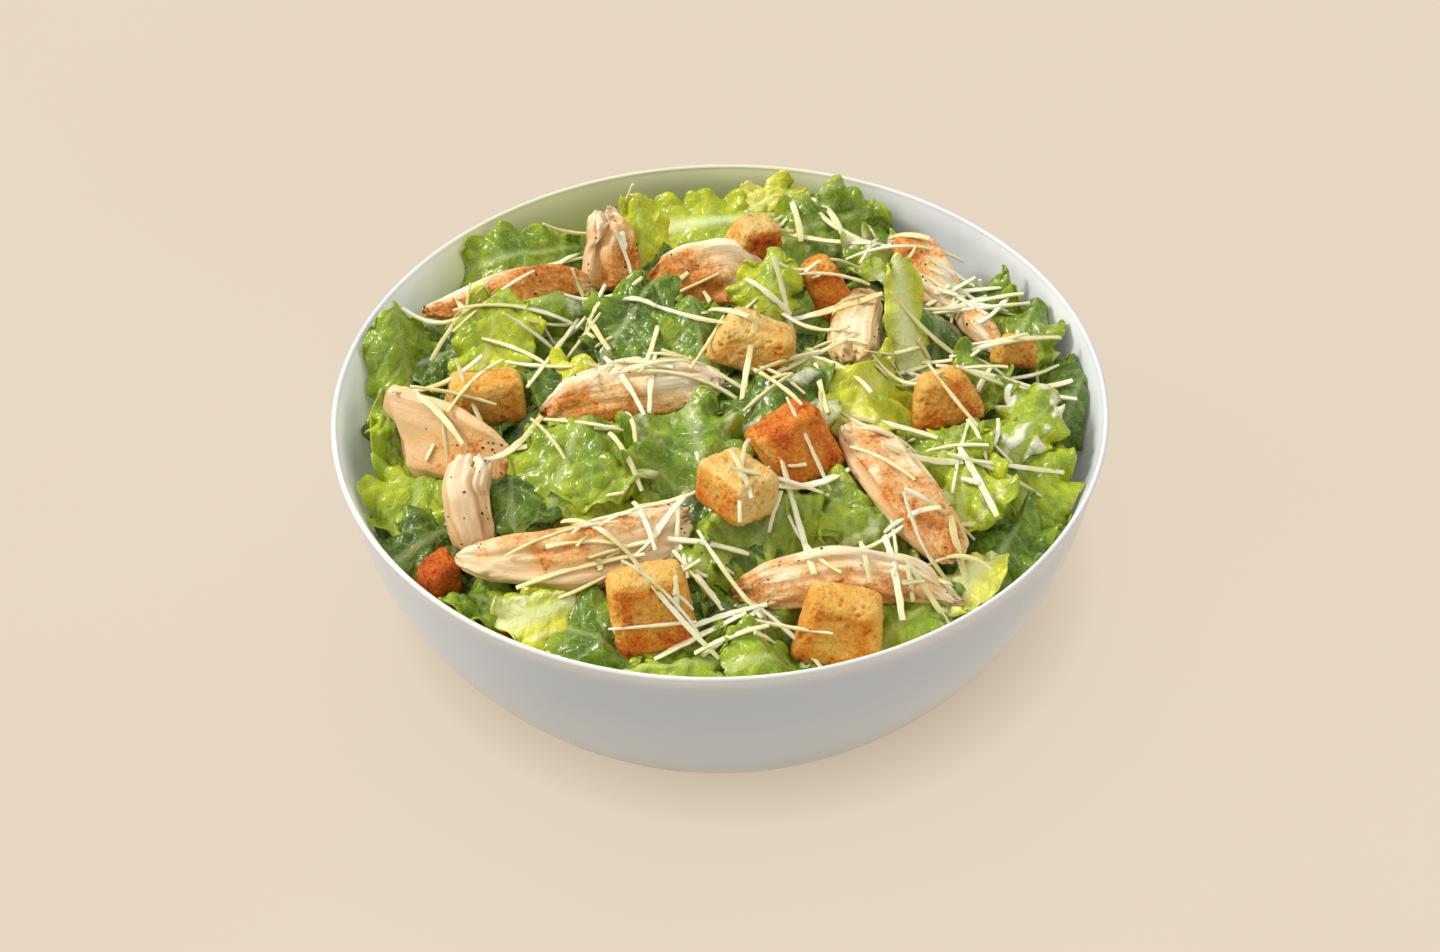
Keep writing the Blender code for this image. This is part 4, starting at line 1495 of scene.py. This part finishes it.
@dataclass
class Chicken:
    """Strips of roast chicken with torn fibres and browned skin."""

    around: int = 84
    rings: float = 2.5
    end_rings: int = 20
    softness: float = 0.13
    fringe: float = 0.06
    swell: float = 1.1
    strand: float = 0.5
    hair: float = 0.24
    crease: float = 0.6
    tip_strand: float = 0.7
    crust: tuple[tuple[float, float], ...] = ((1.1, 0.32), (2.6, 0.35))

    def along(self, rows: np.ndarray, share: np.ndarray) -> np.ndarray:
        """Blend rows of numbers given at even places along a strip.

        Args:
            rows: One row for each place.
            share: Where to read them, 0 to 1.

        Returns:
            One blended row for each share.
        """
        places = np.linspace(0, 1, len(rows))
        shifts = np.linspace(-self.fringe, self.fringe, 5)
        return np.mean([[np.interp(np.clip(share + shift, 0, 1), places, column)
                         for column in rows.T] for shift in shifts], 0).T

    def outline(self, section: Section, turn: np.ndarray) -> np.ndarray:
        """Walk around a section with its corners softened.

        Args:
            section: Section to walk around.
            turn: Places around it, counted in corners.

        Returns:
            Across and up for each place.
        """
        corners = np.array(section.value, float)
        places = np.arange(len(corners))
        shifts = np.linspace(-2, 2, 9) * self.softness
        weights = np.exp(-(shifts / self.softness) ** 2)
        found = [[np.interp(turn + shift, places, column, period=len(corners)) * weight
                  for column in corners.T] for shift, weight in zip(shifts, weights)]
        return np.sum(found, 0).T / weights.sum()

    def build_one(self, node: str, strip: Strip, seed: int, finish: bpy.types.Material
                  ) -> bpy.types.Object:
        """Shape, tear and brown one strip, with painted light on its upward faces and painted shade in its
        grooves.

        Args:
            node: CAD node that it stands for.
            strip: Its sizes.
            seed: Gives it its own grain.
            finish: Roast chicken.

        Returns:
            The strip.
        """
        spine = np.array(strip.spine, float)
        length = float(np.linalg.norm(np.diff(spine, axis=0), axis=1).sum())
        deselect()
        bpy.ops.mesh.primitive_uv_sphere_add(segments=self.around, radius=1, calc_uvs=False,
                                             ring_count=int(self.rings * length) + self.end_rings)
        piece = bpy.context.object
        piece.name = piece.data.name = f"strip_{node}"
        ball = points_of(piece)
        share = np.clip((1 - ball[:, 2]) / 2, 0, 1)
        turn = (np.arctan2(ball[:, 1], ball[:, 0]) / (2 * math.pi) % 1) * CORNERS
        first = np.sqrt(1 - (1 - np.minimum(2 * share, 1)) ** strip.blunt[0])
        last = np.sqrt(1 - (1 - np.minimum(2 - 2 * share, 1)) ** strip.blunt[1])
        ends, tip = first * last, np.abs(2 * share - 1) ** 5
        torn = np.where(share < 0.5, *strip.torn)
        points, a, b = self.body(strip, seed, share, turn, ends, torn * tip)
        move_points(piece, points * MM)
        face_outwards(piece)
        normals = normals_of(piece)
        own = np.stack([share * length, a, b], 1)
        sear = self.browning(strip, seed, share, turn, points)
        cut = self.cuts(strip, seed, share, turn, own, ends)
        strand = grain(own, (26, 1.7, 1.7), seed + 2)
        hair = grain(own, (12, 0.8, 0.8), seed + 4)
        crease = np.exp(-(grain(own, (40, 4.6, 4.6), seed) / 0.09) ** 2)
        fibres = self.strand * strand + self.hair * hair - self.crease * crease
        crust = sum(height * grain(points, size, seed + 7 + 2 * index)
                    for index, (size, height) in enumerate(self.crust))
        lift = self.swell * grain(own, (15, 7, 7), seed + 1) - cut
        lift += strip.fibre * (1 - 0.6 * sear) * fibres + self.tip_strand * tip * strand * torn
        lift += sear * crust
        move_points(piece, (points + normals * (lift * np.minimum(1, 2 * ends))[:, None]) * MM)
        # Paler along the fibres; painted shade darkens the grooves.
        pale = strip.pale - 0.16 + 0.30 * strand * strip.fibre - 0.22 * np.maximum(cut, 0)
        paint(piece, "sear", sear)
        # Painted light: paler where the surface faces up; torn ends are paler too.
        paint(piece, "pale", np.clip(pale + 0.5 * normals[:, 2] ** 3 + 0.2 * tip, 0, 1))
        paint(piece, "fibre", np.full(len(share), min(1.0, 0.75 * strip.fibre)))
        paint(piece, "grain", own / np.array([16.0, 1.3, 1.3]))
        bpy.ops.object.shade_smooth()
        hand_over(piece, "roast_chicken", finish, node)
        return piece

    def body(self, strip: Strip, seed: int, share: np.ndarray, turn: np.ndarray, ends: np.ndarray,
             torn: np.ndarray) -> tuple[np.ndarray, np.ndarray, np.ndarray]:
        """Sweep the section along the spine, with slanting and torn ends.

        Args:
            strip: The strip's sizes.
            seed: Gives it its own tears.
            share: Each point's place along the strip, 0 to 1.
            turn: Its place around the section, counted in corners.
            ends: How far the section has opened there, 0 at the tips.
            torn: How far the ends may be torn there.

        Returns:
            Points in millimetres, and how far each lies across and over the spine.
        """
        spine = np.array(strip.spine, float)
        ahead = unit_rows(self.along(spine, share + 0.02) - self.along(spine, share - 0.02))
        side = unit_rows(np.cross(ahead, UP))
        over = np.cross(side, ahead)
        girth = self.along(np.array(strip.girth, float), share)
        roll = np.radians(girth[:, 2])
        flat = self.outline(strip.section, turn)
        a, b = (flat * girth[:, :2] * ends[:, None]).T
        a, b = a * np.cos(roll) - b * np.sin(roll), a * np.sin(roll) + b * np.cos(roll)
        angle = turn * 2 * math.pi / CORNERS
        ring = np.stack([np.cos(angle), np.sin(angle), 0 * turn + seed], 1)
        shift = torn * (2.6 * grain(ring, (0.5, 0.5, 1), seed) + 1.6 * grain(ring, (0.2, 0.2, 1), seed))
        shift += (strip.slant[0] * (1 - smooth_step(0, 0.4, share))
                  + strip.slant[1] * smooth_step(0.6, 1, share)) * flat[:, 1]
        shift *= np.minimum(1, 3 * ends)
        points = self.along(spine, share) + side * a[:, None] + over * b[:, None] + ahead * shift[:, None]
        return points, a, b

    def browning(self, strip: Strip, seed: int, share: np.ndarray, turn: np.ndarray,
                 points: np.ndarray) -> np.ndarray:
        """Blend the strip's digits of brown and make them patchy.

        Args:
            strip: The strip's sizes.
            seed: Gives it its own patches.
            share: Each point's place along the strip, 0 to 1.
            turn: Its place around the section, counted in corners.
            points: Points in millimetres.

        Returns:
            Brownness from 0 to 1.
        """
        digits = np.array([[int(digit) / 9 for digit in row] for row in strip.brown])
        table = self.along(digits, share)
        low = np.floor(turn).astype(int) % CORNERS
        rows = np.arange(len(share))
        blend = turn - np.floor(turn)
        sear = table[rows, low] * (1 - blend) + table[rows, (low + 1) % CORNERS] * blend
        patch = grain(points, 6, seed + 6) + 0.5 * grain(points, 2.5, seed + 8)
        return np.clip(sear * (1 + 0.5 * patch) + 0.10 * patch, 0, 1)

    @staticmethod
    def cuts(strip: Strip, seed: int, share: np.ndarray, turn: np.ndarray, own: np.ndarray,
             ends: np.ndarray) -> np.ndarray:
        """Work out how deep the grooves are, with a low ridge beside each.

        Args:
            strip: The strip's sizes.
            seed: Gives the grooves their own wander.
            share: Each point's place along the strip, 0 to 1.
            turn: Its place around the section, counted in corners.
            own: Points in the strip's own coordinates.
            ends: How far the section has opened there, 0 at the tips.

        Returns:
            Depth in millimetres.
        """
        cut = np.zeros(len(share))
        for around, depth, width, start, end in strip.grooves:
            wander = strip.wander * (0.16 * np.sin(share * 9 + around * 5)
                                     + 0.3 * grain(own, (14, 99, 99), seed + around))
            half = CORNERS / 2
            gap = np.abs((turn - around - wander + half) % CORNERS - half) / width
            reach = smooth_step(start - 0.1, start + 0.1, share) * smooth_step(end + 0.1, end - 0.1, share)
            cut += depth * (np.exp(-gap ** 2) - 0.25 * np.exp(-(gap - 2) ** 2)) * reach * ends ** 2
        return cut

    def build(self, finish: bpy.types.Material) -> list[bpy.types.Object]:
        """Make every strip.

        Args:
            finish: Roast chicken.

        Returns:
            The strips.
        """
        return [self.build_one(node, strip, seed, finish)
                for seed, (node, strip) in enumerate(STRIPS.items())]


# ---------------------------------------------------------------- toppings


class Terrain:
    """The top of everything made so far, for laying toppings on."""

    lowest: float = 60.0

    def __init__(self, pieces: Sequence[bpy.types.Object]) -> None:
        """Index the pieces' surfaces.

        Args:
            pieces: Everything that toppings may lie on.
        """
        graph = bpy.context.evaluated_depsgraph_get()
        self.trees = []
        for piece in pieces:
            points = points_of(piece)
            self.trees.append((BVHTree.FromObject(piece, graph), points.min(0), points.max(0)))

    def top(self, x: float, y: float) -> float:
        """Find the highest surface at a place.

        Args:
            x: Place across, in millimetres.
            y: Place away from the eater, in millimetres.

        Returns:
            Height in millimetres.
        """
        best = self.lowest
        for tree, low, high in self.trees:
            if low[0] < x * MM < high[0] and low[1] < y * MM < high[1]:
                spot = tree.ray_cast(Vector((x * MM, y * MM, ABOVE_ALL)), DOWN)[0]
                if spot is not None and spot.z / MM > best:
                    best = spot.z / MM
        return best


@dataclass(frozen=True)
class Patch:
    """An oval where shreds lie thickly: middle, half sizes, number and main heading."""

    middle: tuple[float, float]
    half: tuple[float, float]
    count: int
    heading: float


@dataclass
class Shreds:
    """Grated cheese, in millimetres and degrees."""

    width: float = 1.75
    thickness: float = 0.8
    stations: int = 12
    section: tuple[tuple[float, float], ...] = (
        (-1, -0.7), (-0.75, -1), (0.75, -1), (1, -0.7), (1, 0.7), (0.75, 1), (-0.75, 1), (-1, 0.7))
    lengths: Triple = (10, 40, 20)
    fan: float = 48.0
    bend: float = 15.0
    loose: int = 12
    loose_reach: float = 84.0
    loose_lengths: tuple[float, float] = (14, 30)
    loose_bend: float = 26.0
    bits: int = 48
    bit_lengths: tuple[float, float] = (2.4, 7)
    bit_spread: float = 5.0
    reach: float = 100.0
    highest_lift: float = 0.6
    deepest_dip: float = 16.0
    limpness: float = 0.4
    press: float = 0.5
    patches: tuple[Patch, ...] = (
        Patch((-44, 78), (12, 9), 4, 60),
        Patch((-74, 38), (13, 8), 6, -30),
        Patch((-50, 24), (15, 12), 8, -20),
        Patch((-78, 0), (10, 9), 4, -75),
        Patch((-28, 44), (14, 12), 5, -40),
        Patch((-18, -1), (16, 9), 11, -20),
        Patch((2, 22), (14, 16), 6, 20),
        Patch((30, 36), (16, 14), 8, 0),
        Patch((28, 76), (16, 9), 5, -45),
        Patch((22, -6), (18, 14), 8, -10),
        Patch((52, 60), (12, 9), 4, -30),
        Patch((74, 47), (15, 9), 13, 10),
        Patch((60, 10), (14, 13), 8, 10),
        Patch((84, 8), (9, 14), 7, -10),
        Patch((74, -26), (12, 15), 7, -60),
        Patch((50, -30), (14, 16), 6, -40),
        Patch((-60, -20), (16, 18), 5, -70),
        Patch((-30, -60), (16, 10), 12, 0),
        Patch((-8, -66), (12, 12), 6, -50),
        Patch((-4, -88), (26, 7), 9, -30),
        Patch((18, -46), (14, 14), 6, -50),
        Patch((52, -64), (16, 14), 11, -50),
        Patch((-30, -26), (14, 10), 3, -60),
    )

    def rows(self) -> list[tuple[float, ...]]:
        """Choose where shreds and broken bits lie: most in patches, a few anywhere.

        Returns:
            Middle across and away, heading, length, bend and extra height of each.
        """
        dice = random.Random(77)
        rows = []

        def add(x: float, y: float, heading: float, length: float, bend: float) -> None:
            """Add one shred, kept off the wall.

            Args:
                x: Middle, across.
                y: Middle, away from the eater.
                heading: Direction.
                length: Length.
                bend: How far it turns from end to end.
            """
            inside = min(1.0, (self.reach - 0.45 * length) / math.hypot(x, y))
            rows.append((x * inside, y * inside, heading, length, bend,
                         dice.uniform(0, self.highest_lift)))

        for patch in self.patches:
            phase = dice.uniform(0, 2 * math.pi)
            for index in range(patch.count):
                out, angle = math.sqrt((index + 0.5) / patch.count), phase + index * GOLDEN_ANGLE
                add(patch.middle[0] + patch.half[0] * out * math.cos(angle),
                    patch.middle[1] + patch.half[1] * out * math.sin(angle),
                    patch.heading + dice.gauss(0, self.fan), dice.triangular(*self.lengths),
                    dice.gauss(0, self.bend))
        for _ in range(self.loose):
            out, angle = self.loose_reach * math.sqrt(dice.random()), dice.uniform(0, 2 * math.pi)
            add(out * math.cos(angle), out * math.sin(angle), dice.uniform(0, 180),
                dice.uniform(*self.loose_lengths), dice.gauss(0, self.loose_bend))
        for x, y, *_ in dice.sample(rows, self.bits):
            add(x + dice.gauss(0, self.bit_spread), y + dice.gauss(0, self.bit_spread),
                dice.uniform(0, 180), dice.uniform(*self.bit_lengths), 0)
        return rows

    def lay(self, terrain: Terrain, x: float, y: float, heading: float, length: float,
            bend: float, lift: float) -> np.ndarray:
        """Drape one shred over what is under it.

        Args:
            terrain: Surface to lie on.
            x: Middle, across.
            y: Middle, away from the eater.
            heading: Direction.
            length: Length.
            bend: How far it turns from end to end.
            lift: Extra height, for shreds that lie on others.

        Returns:
            The shred's middle line.
        """
        share = np.linspace(-0.5, 0.5, self.stations)
        angle = math.radians(heading) + math.radians(bend) * share
        step = length / (self.stations - 1)
        path = np.stack([np.cos(angle), np.sin(angle)], 1) * step
        line = np.cumsum(path, 0) - path[0]
        line += np.array([x, y]) - line.mean(0)
        ground = np.array([terrain.top(*spot) for spot in line.tolist()])
        ground = np.maximum(ground, np.sort(ground)[-4] - self.deepest_dip)
        places = np.arange(self.stations)
        straight, curved = (np.polyval(np.polyfit(places, ground, order), places) for order in (1, 2))
        height = straight + self.limpness * (curved - straight)
        height += max(0.0, float(np.sort(ground - height)[-3]) - self.press)
        return np.column_stack([line, height + self.thickness / 2 + lift])

    def strip(self, line: np.ndarray, seed: int) -> tuple[np.ndarray, list[tuple[int, ...]]]:
        """Sweep a shred's section along its line.

        Args:
            line: Middle line.
            seed: Gives each shred its own width and twist.

        Returns:
            Points in millimetres, and faces.
        """
        dice = random.Random(seed)
        wide, thick = self.width * dice.uniform(0.5, 1.12), self.thickness * dice.uniform(0.7, 1.15)
        twist, start = dice.uniform(-0.8, 0.8), dice.uniform(-0.4, 0.4)
        tangent = unit_rows(np.gradient(line, axis=0))
        side = unit_rows(np.cross(UP, tangent))
        over = np.cross(tangent, side)
        points, count = [], len(self.section)
        for i, spot in enumerate(line):
            share = i / (len(line) - 1)
            taper = 0.42 + 0.58 * math.sin(math.pi * min(1, max(0, 0.12 + 0.76 * share))) ** 0.5
            taper *= dice.uniform(0.84, 1.14)
            turn = start + twist * (share - 0.5)
            shift = dice.uniform(-0.12, 0.12)
            for a, b in self.section:
                a, b = (a + shift) * wide / 2 * taper, b * thick / 2 * taper
                a, b = a * math.cos(turn) - b * math.sin(turn), a * math.sin(turn) + b * math.cos(turn)
                points.append(spot + a * side[i] + b * over[i])
        faces = [tuple(reversed(range(count))), tuple(range(len(points) - count, len(points)))]
        for i in range(len(line) - 1):
            for k in range(count):
                a, b = i * count + k, i * count + (k + 1) % count
                faces.append((a, b, b + count, a + count))
        return np.array(points), faces

    def build(self, terrain: Terrain, finish: bpy.types.Material) -> bpy.types.Object:
        """Lay every shred and join them.

        Args:
            terrain: Surface to lie on.
            finish: Cheese.

        Returns:
            All the shreds as one piece.
        """
        points, faces = [], []
        for seed, row in enumerate(self.rows()):
            corners, sides = self.strip(self.lay(terrain, *row), seed)
            faces += [tuple(index + len(points) for index in side) for side in sides]
            points += corners.tolist()
        mesh = bpy.data.meshes.new("cheese_shreds")
        mesh.from_pydata([tuple(value * MM for value in point) for point in points], [], faces)
        shreds = bpy.data.objects.new("cheese_shreds", mesh)
        bpy.context.scene.collection.objects.link(shreds)
        face_outwards(shreds)
        bpy.ops.object.shade_smooth_by_angle(angle=math.radians(35))
        hand_over(shreds, "", finish)
        return shreds


@dataclass
class Flecks:
    """Cracked pepper on the chicken, in millimetres."""

    each: int = 16
    size: tuple[float, float] = (0.28, 0.62)
    flatness: tuple[float, float] = (0.5, 0.9)
    thickness: float = 0.6
    cover: float = 0.6
    upward: float = 0.2

    def build(self, terrain: Terrain, strips: Sequence[bpy.types.Object],
              finish: bpy.types.Material) -> bpy.types.Object:
        """Scatter the flecks over the strips and join them.

        Args:
            terrain: Surface to lie on.
            strips: Chicken to season.
            finish: Pepper.

        Returns:
            All the flecks as one piece.
        """
        dice = random.Random(19)
        made = []
        for strip in strips:
            points = points_of(strip) / MM
            upper = points[normals_of(strip)[:, 2] > self.upward]
            for _ in range(self.each):
                spot = upper[dice.randrange(len(upper))]
                if spot[2] < terrain.top(*spot[:2]) - self.cover:
                    continue
                deselect()
                bpy.ops.mesh.primitive_ico_sphere_add(
                    subdivisions=1, radius=dice.uniform(*self.size) * MM, location=tuple(spot * MM),
                    rotation=(dice.random() * 3, dice.random() * 3, 0),
                    scale=(1, dice.uniform(*self.flatness), self.thickness))
                bpy.ops.object.transform_apply(location=True, rotation=True, scale=True)
                made.append(bpy.context.object)
        piece = join_pieces(made, "pepper_flecks")
        hand_over(piece, "", finish)
        return piece


# ---------------------------------------------------------------- studio


@dataclass(frozen=True)
class Lamp:
    """Square lamp: place, side, power in watts, tint, whether gloss mirrors it, and its direction.

    Places and sides are in metres. A lamp without a direction faces the salad.
    """

    name: str
    place: Triple
    size: float
    power: float
    tint: Triple
    mirrored: bool = False
    direction: Optional[Triple] = None

    def hang(self, target: Triple) -> bpy.types.Object:
        """Add the lamp.

        Args:
            target: What it faces when it has no direction of its own.

        Returns:
            The lamp.
        """
        bpy.ops.object.light_add(type="AREA", location=self.place)
        made = bpy.context.object
        made.name = self.name
        made.data.size = self.size
        made.data.energy = self.power
        made.data.color = self.tint
        made.visible_glossy = self.mirrored
        made.visible_camera = False
        towards = Vector(self.direction) if self.direction else Vector(target) - Vector(self.place)
        made.rotation_euler = towards.to_track_quat("-Z", "Y").to_euler()
        return made


@dataclass
class Studio:
    """Pale floor with a painted shadow round the bowl, soft light and the camera, in metres and degrees."""

    distance: float = 0.9622
    elevation: float = 41.47
    tilt: float = -1.53
    field_of_view: float = 24.0
    aim: Triple = (-0.0004, 0.0, 0.0532)
    orbit_height: float = 0.08
    floor_size: float = 6.0
    floor_gap: float = 0.0002
    floor_tones: tuple[Triple, Triple] = ((106, 99, 90), (110, 103, 94))
    floor_glow: tuple[Triple, Triple] = ((236, 219, 196), (238, 222, 200))
    # Painted shadow: the floor's glow darkens to this colour within a disc round the bowl.
    shade: Triple = (203, 186, 161)
    shade_middle: Triple = (0.006, 0.020, 0.0)
    shade_reach: tuple[float, float] = (0.080, 0.108)
    salad: Triple = (0.0, 0.0, 0.06)
    overhead: Lamp = Lamp("overhead", (-0.15, 0.15, 2.1), 2.4, 19.5, (1.0, 0.975, 0.94))
    key: Lamp = Lamp("key", (-1.5, 0.35, 1.35), 0.45, 30, (1.0, 0.97, 0.92), True)
    fill: Lamp = Lamp("fill", (-0.95, -1.6, 1.15), 1.1, 2.8, (0.96, 0.98, 1.0), True)
    bounce: Lamp = Lamp("bounce", (1.25, -0.15, 1.5), 1.2, 6, (1.0, 0.98, 0.95))
    glows: tuple[Lamp, ...] = (
        Lamp("glow_left", (-0.012, -0.03, 0.125), 0.05, 0.052, (1.0, 0.99, 0.84),
             direction=(-1, -0.3, -0.35)),
        Lamp("glow_right", (0.01, -0.035, 0.125), 0.05, 0.032, (1.0, 0.99, 0.84),
             direction=(1, -0.5, -0.4)),
    )
    sky: tuple[float, float, float, float] = (0.97, 0.985, 1.0, 1.0)
    sky_strength: float = 0.40

    def floor(self) -> bpy.types.Object:
        """Lay the evenly glowing floor, with a painted shadow round the bowl.

        Returns:
            The floor.
        """
        deselect()
        bpy.ops.mesh.primitive_plane_add(size=self.floor_size, location=(0, 0, -self.floor_gap))
        plane = bpy.context.object
        plane.name = "floor"
        board = Board("floor")
        # Painted shadow round the bowl.
        shade = board.span(board.reach(self.shade_middle), *self.shade_reach, 1, 0)
        cloud = board.span(board.noise(3, 2), 0.3, 0.7)
        glow = board.mix(shade, board.mix(cloud, *self.floor_glow), self.shade)
        board.shine(Base_Color=board.mix(cloud, *self.floor_tones), Roughness=0.9,
                    Specular_IOR_Level=0.1, Emission_Color=glow, Emission_Strength=0.82)
        plane.data.materials.append(board.material)
        return plane

    def light(self, floor: bpy.types.Object, bowl: bpy.types.Object) -> None:
        """Hang a large lamp, three smaller ones round the salad, and a glow on the bowl's wall.

        Args:
            floor: Floor that the key and the bounce leave out.
            bowl: Bowl whose inner wall alone the glow lights.
        """
        self.overhead.hang(self.salad)
        key = self.key.hang(self.salad)
        self.fill.hang(self.salad)
        bounce = self.bounce.hang(self.salad)
        spared = bpy.data.collections.new("spared")
        spared.objects.link(floor)
        for lamp in (key, bounce):
            lamp.light_linking.receiver_collection = spared
        spared.collection_objects[0].light_linking.link_state = "EXCLUDE"
        walls = bpy.data.collections.new("walls")
        walls.objects.link(bowl)
        for glow in self.glows:
            lamp = glow.hang(self.salad)
            lamp.light_linking.receiver_collection = walls
            lamp.light_linking.blocker_collection = walls
        world = bpy.data.worlds.new("studio")
        world.use_nodes = True
        sky = world.node_tree.nodes["Background"]
        sky.inputs["Color"].default_value = self.sky
        sky.inputs["Strength"].default_value = self.sky_strength
        bpy.context.scene.world = world
        bpy.context.scene.view_settings.view_transform = "Standard"

    def camera(self) -> None:
        """Set the camera at its angle."""
        rise = math.radians(self.elevation)
        bpy.ops.object.camera_add()
        camera = bpy.context.object
        place = Vector((0, -math.cos(rise), math.sin(rise))) * self.distance
        place.z += self.orbit_height
        look = (Vector(self.aim) - place).to_track_quat("-Z", "Y").to_matrix().to_4x4()
        camera.matrix_world = (Matrix.Translation(place) @ look
                               @ Matrix.Rotation(math.radians(self.tilt), 4, "Z"))
        camera.data.sensor_fit = "HORIZONTAL"
        camera.data.angle = math.radians(self.field_of_view)
        bpy.context.scene.camera = camera


def main() -> None:
    """Build the bowl, the romaine, what lies on it, and the studio."""
    logging.basicConfig(level=logging.INFO, format="%(message)s")
    bowl = Bowl()
    shell = bowl.build(Glaze().material())
    green = Romaine().material()
    bread = Croutons().build(Toast().material())
    strips = Chicken().build(Roast().material())
    bed = LeafBed(bowl)
    bed.note_obstacles(bread[:-1] + strips)
    core = bed.build_core(green)
    leaves = bed.build(LEAVES, green)
    terrain = Terrain([core, *leaves, *bread, *strips])
    Flecks().build(terrain, strips, Pepper().material())
    Shreds().build(terrain, Cheese().material())
    studio = Studio()
    studio.light(studio.floor(), shell)
    studio.camera()


if __name__ == "__main__":
    main()
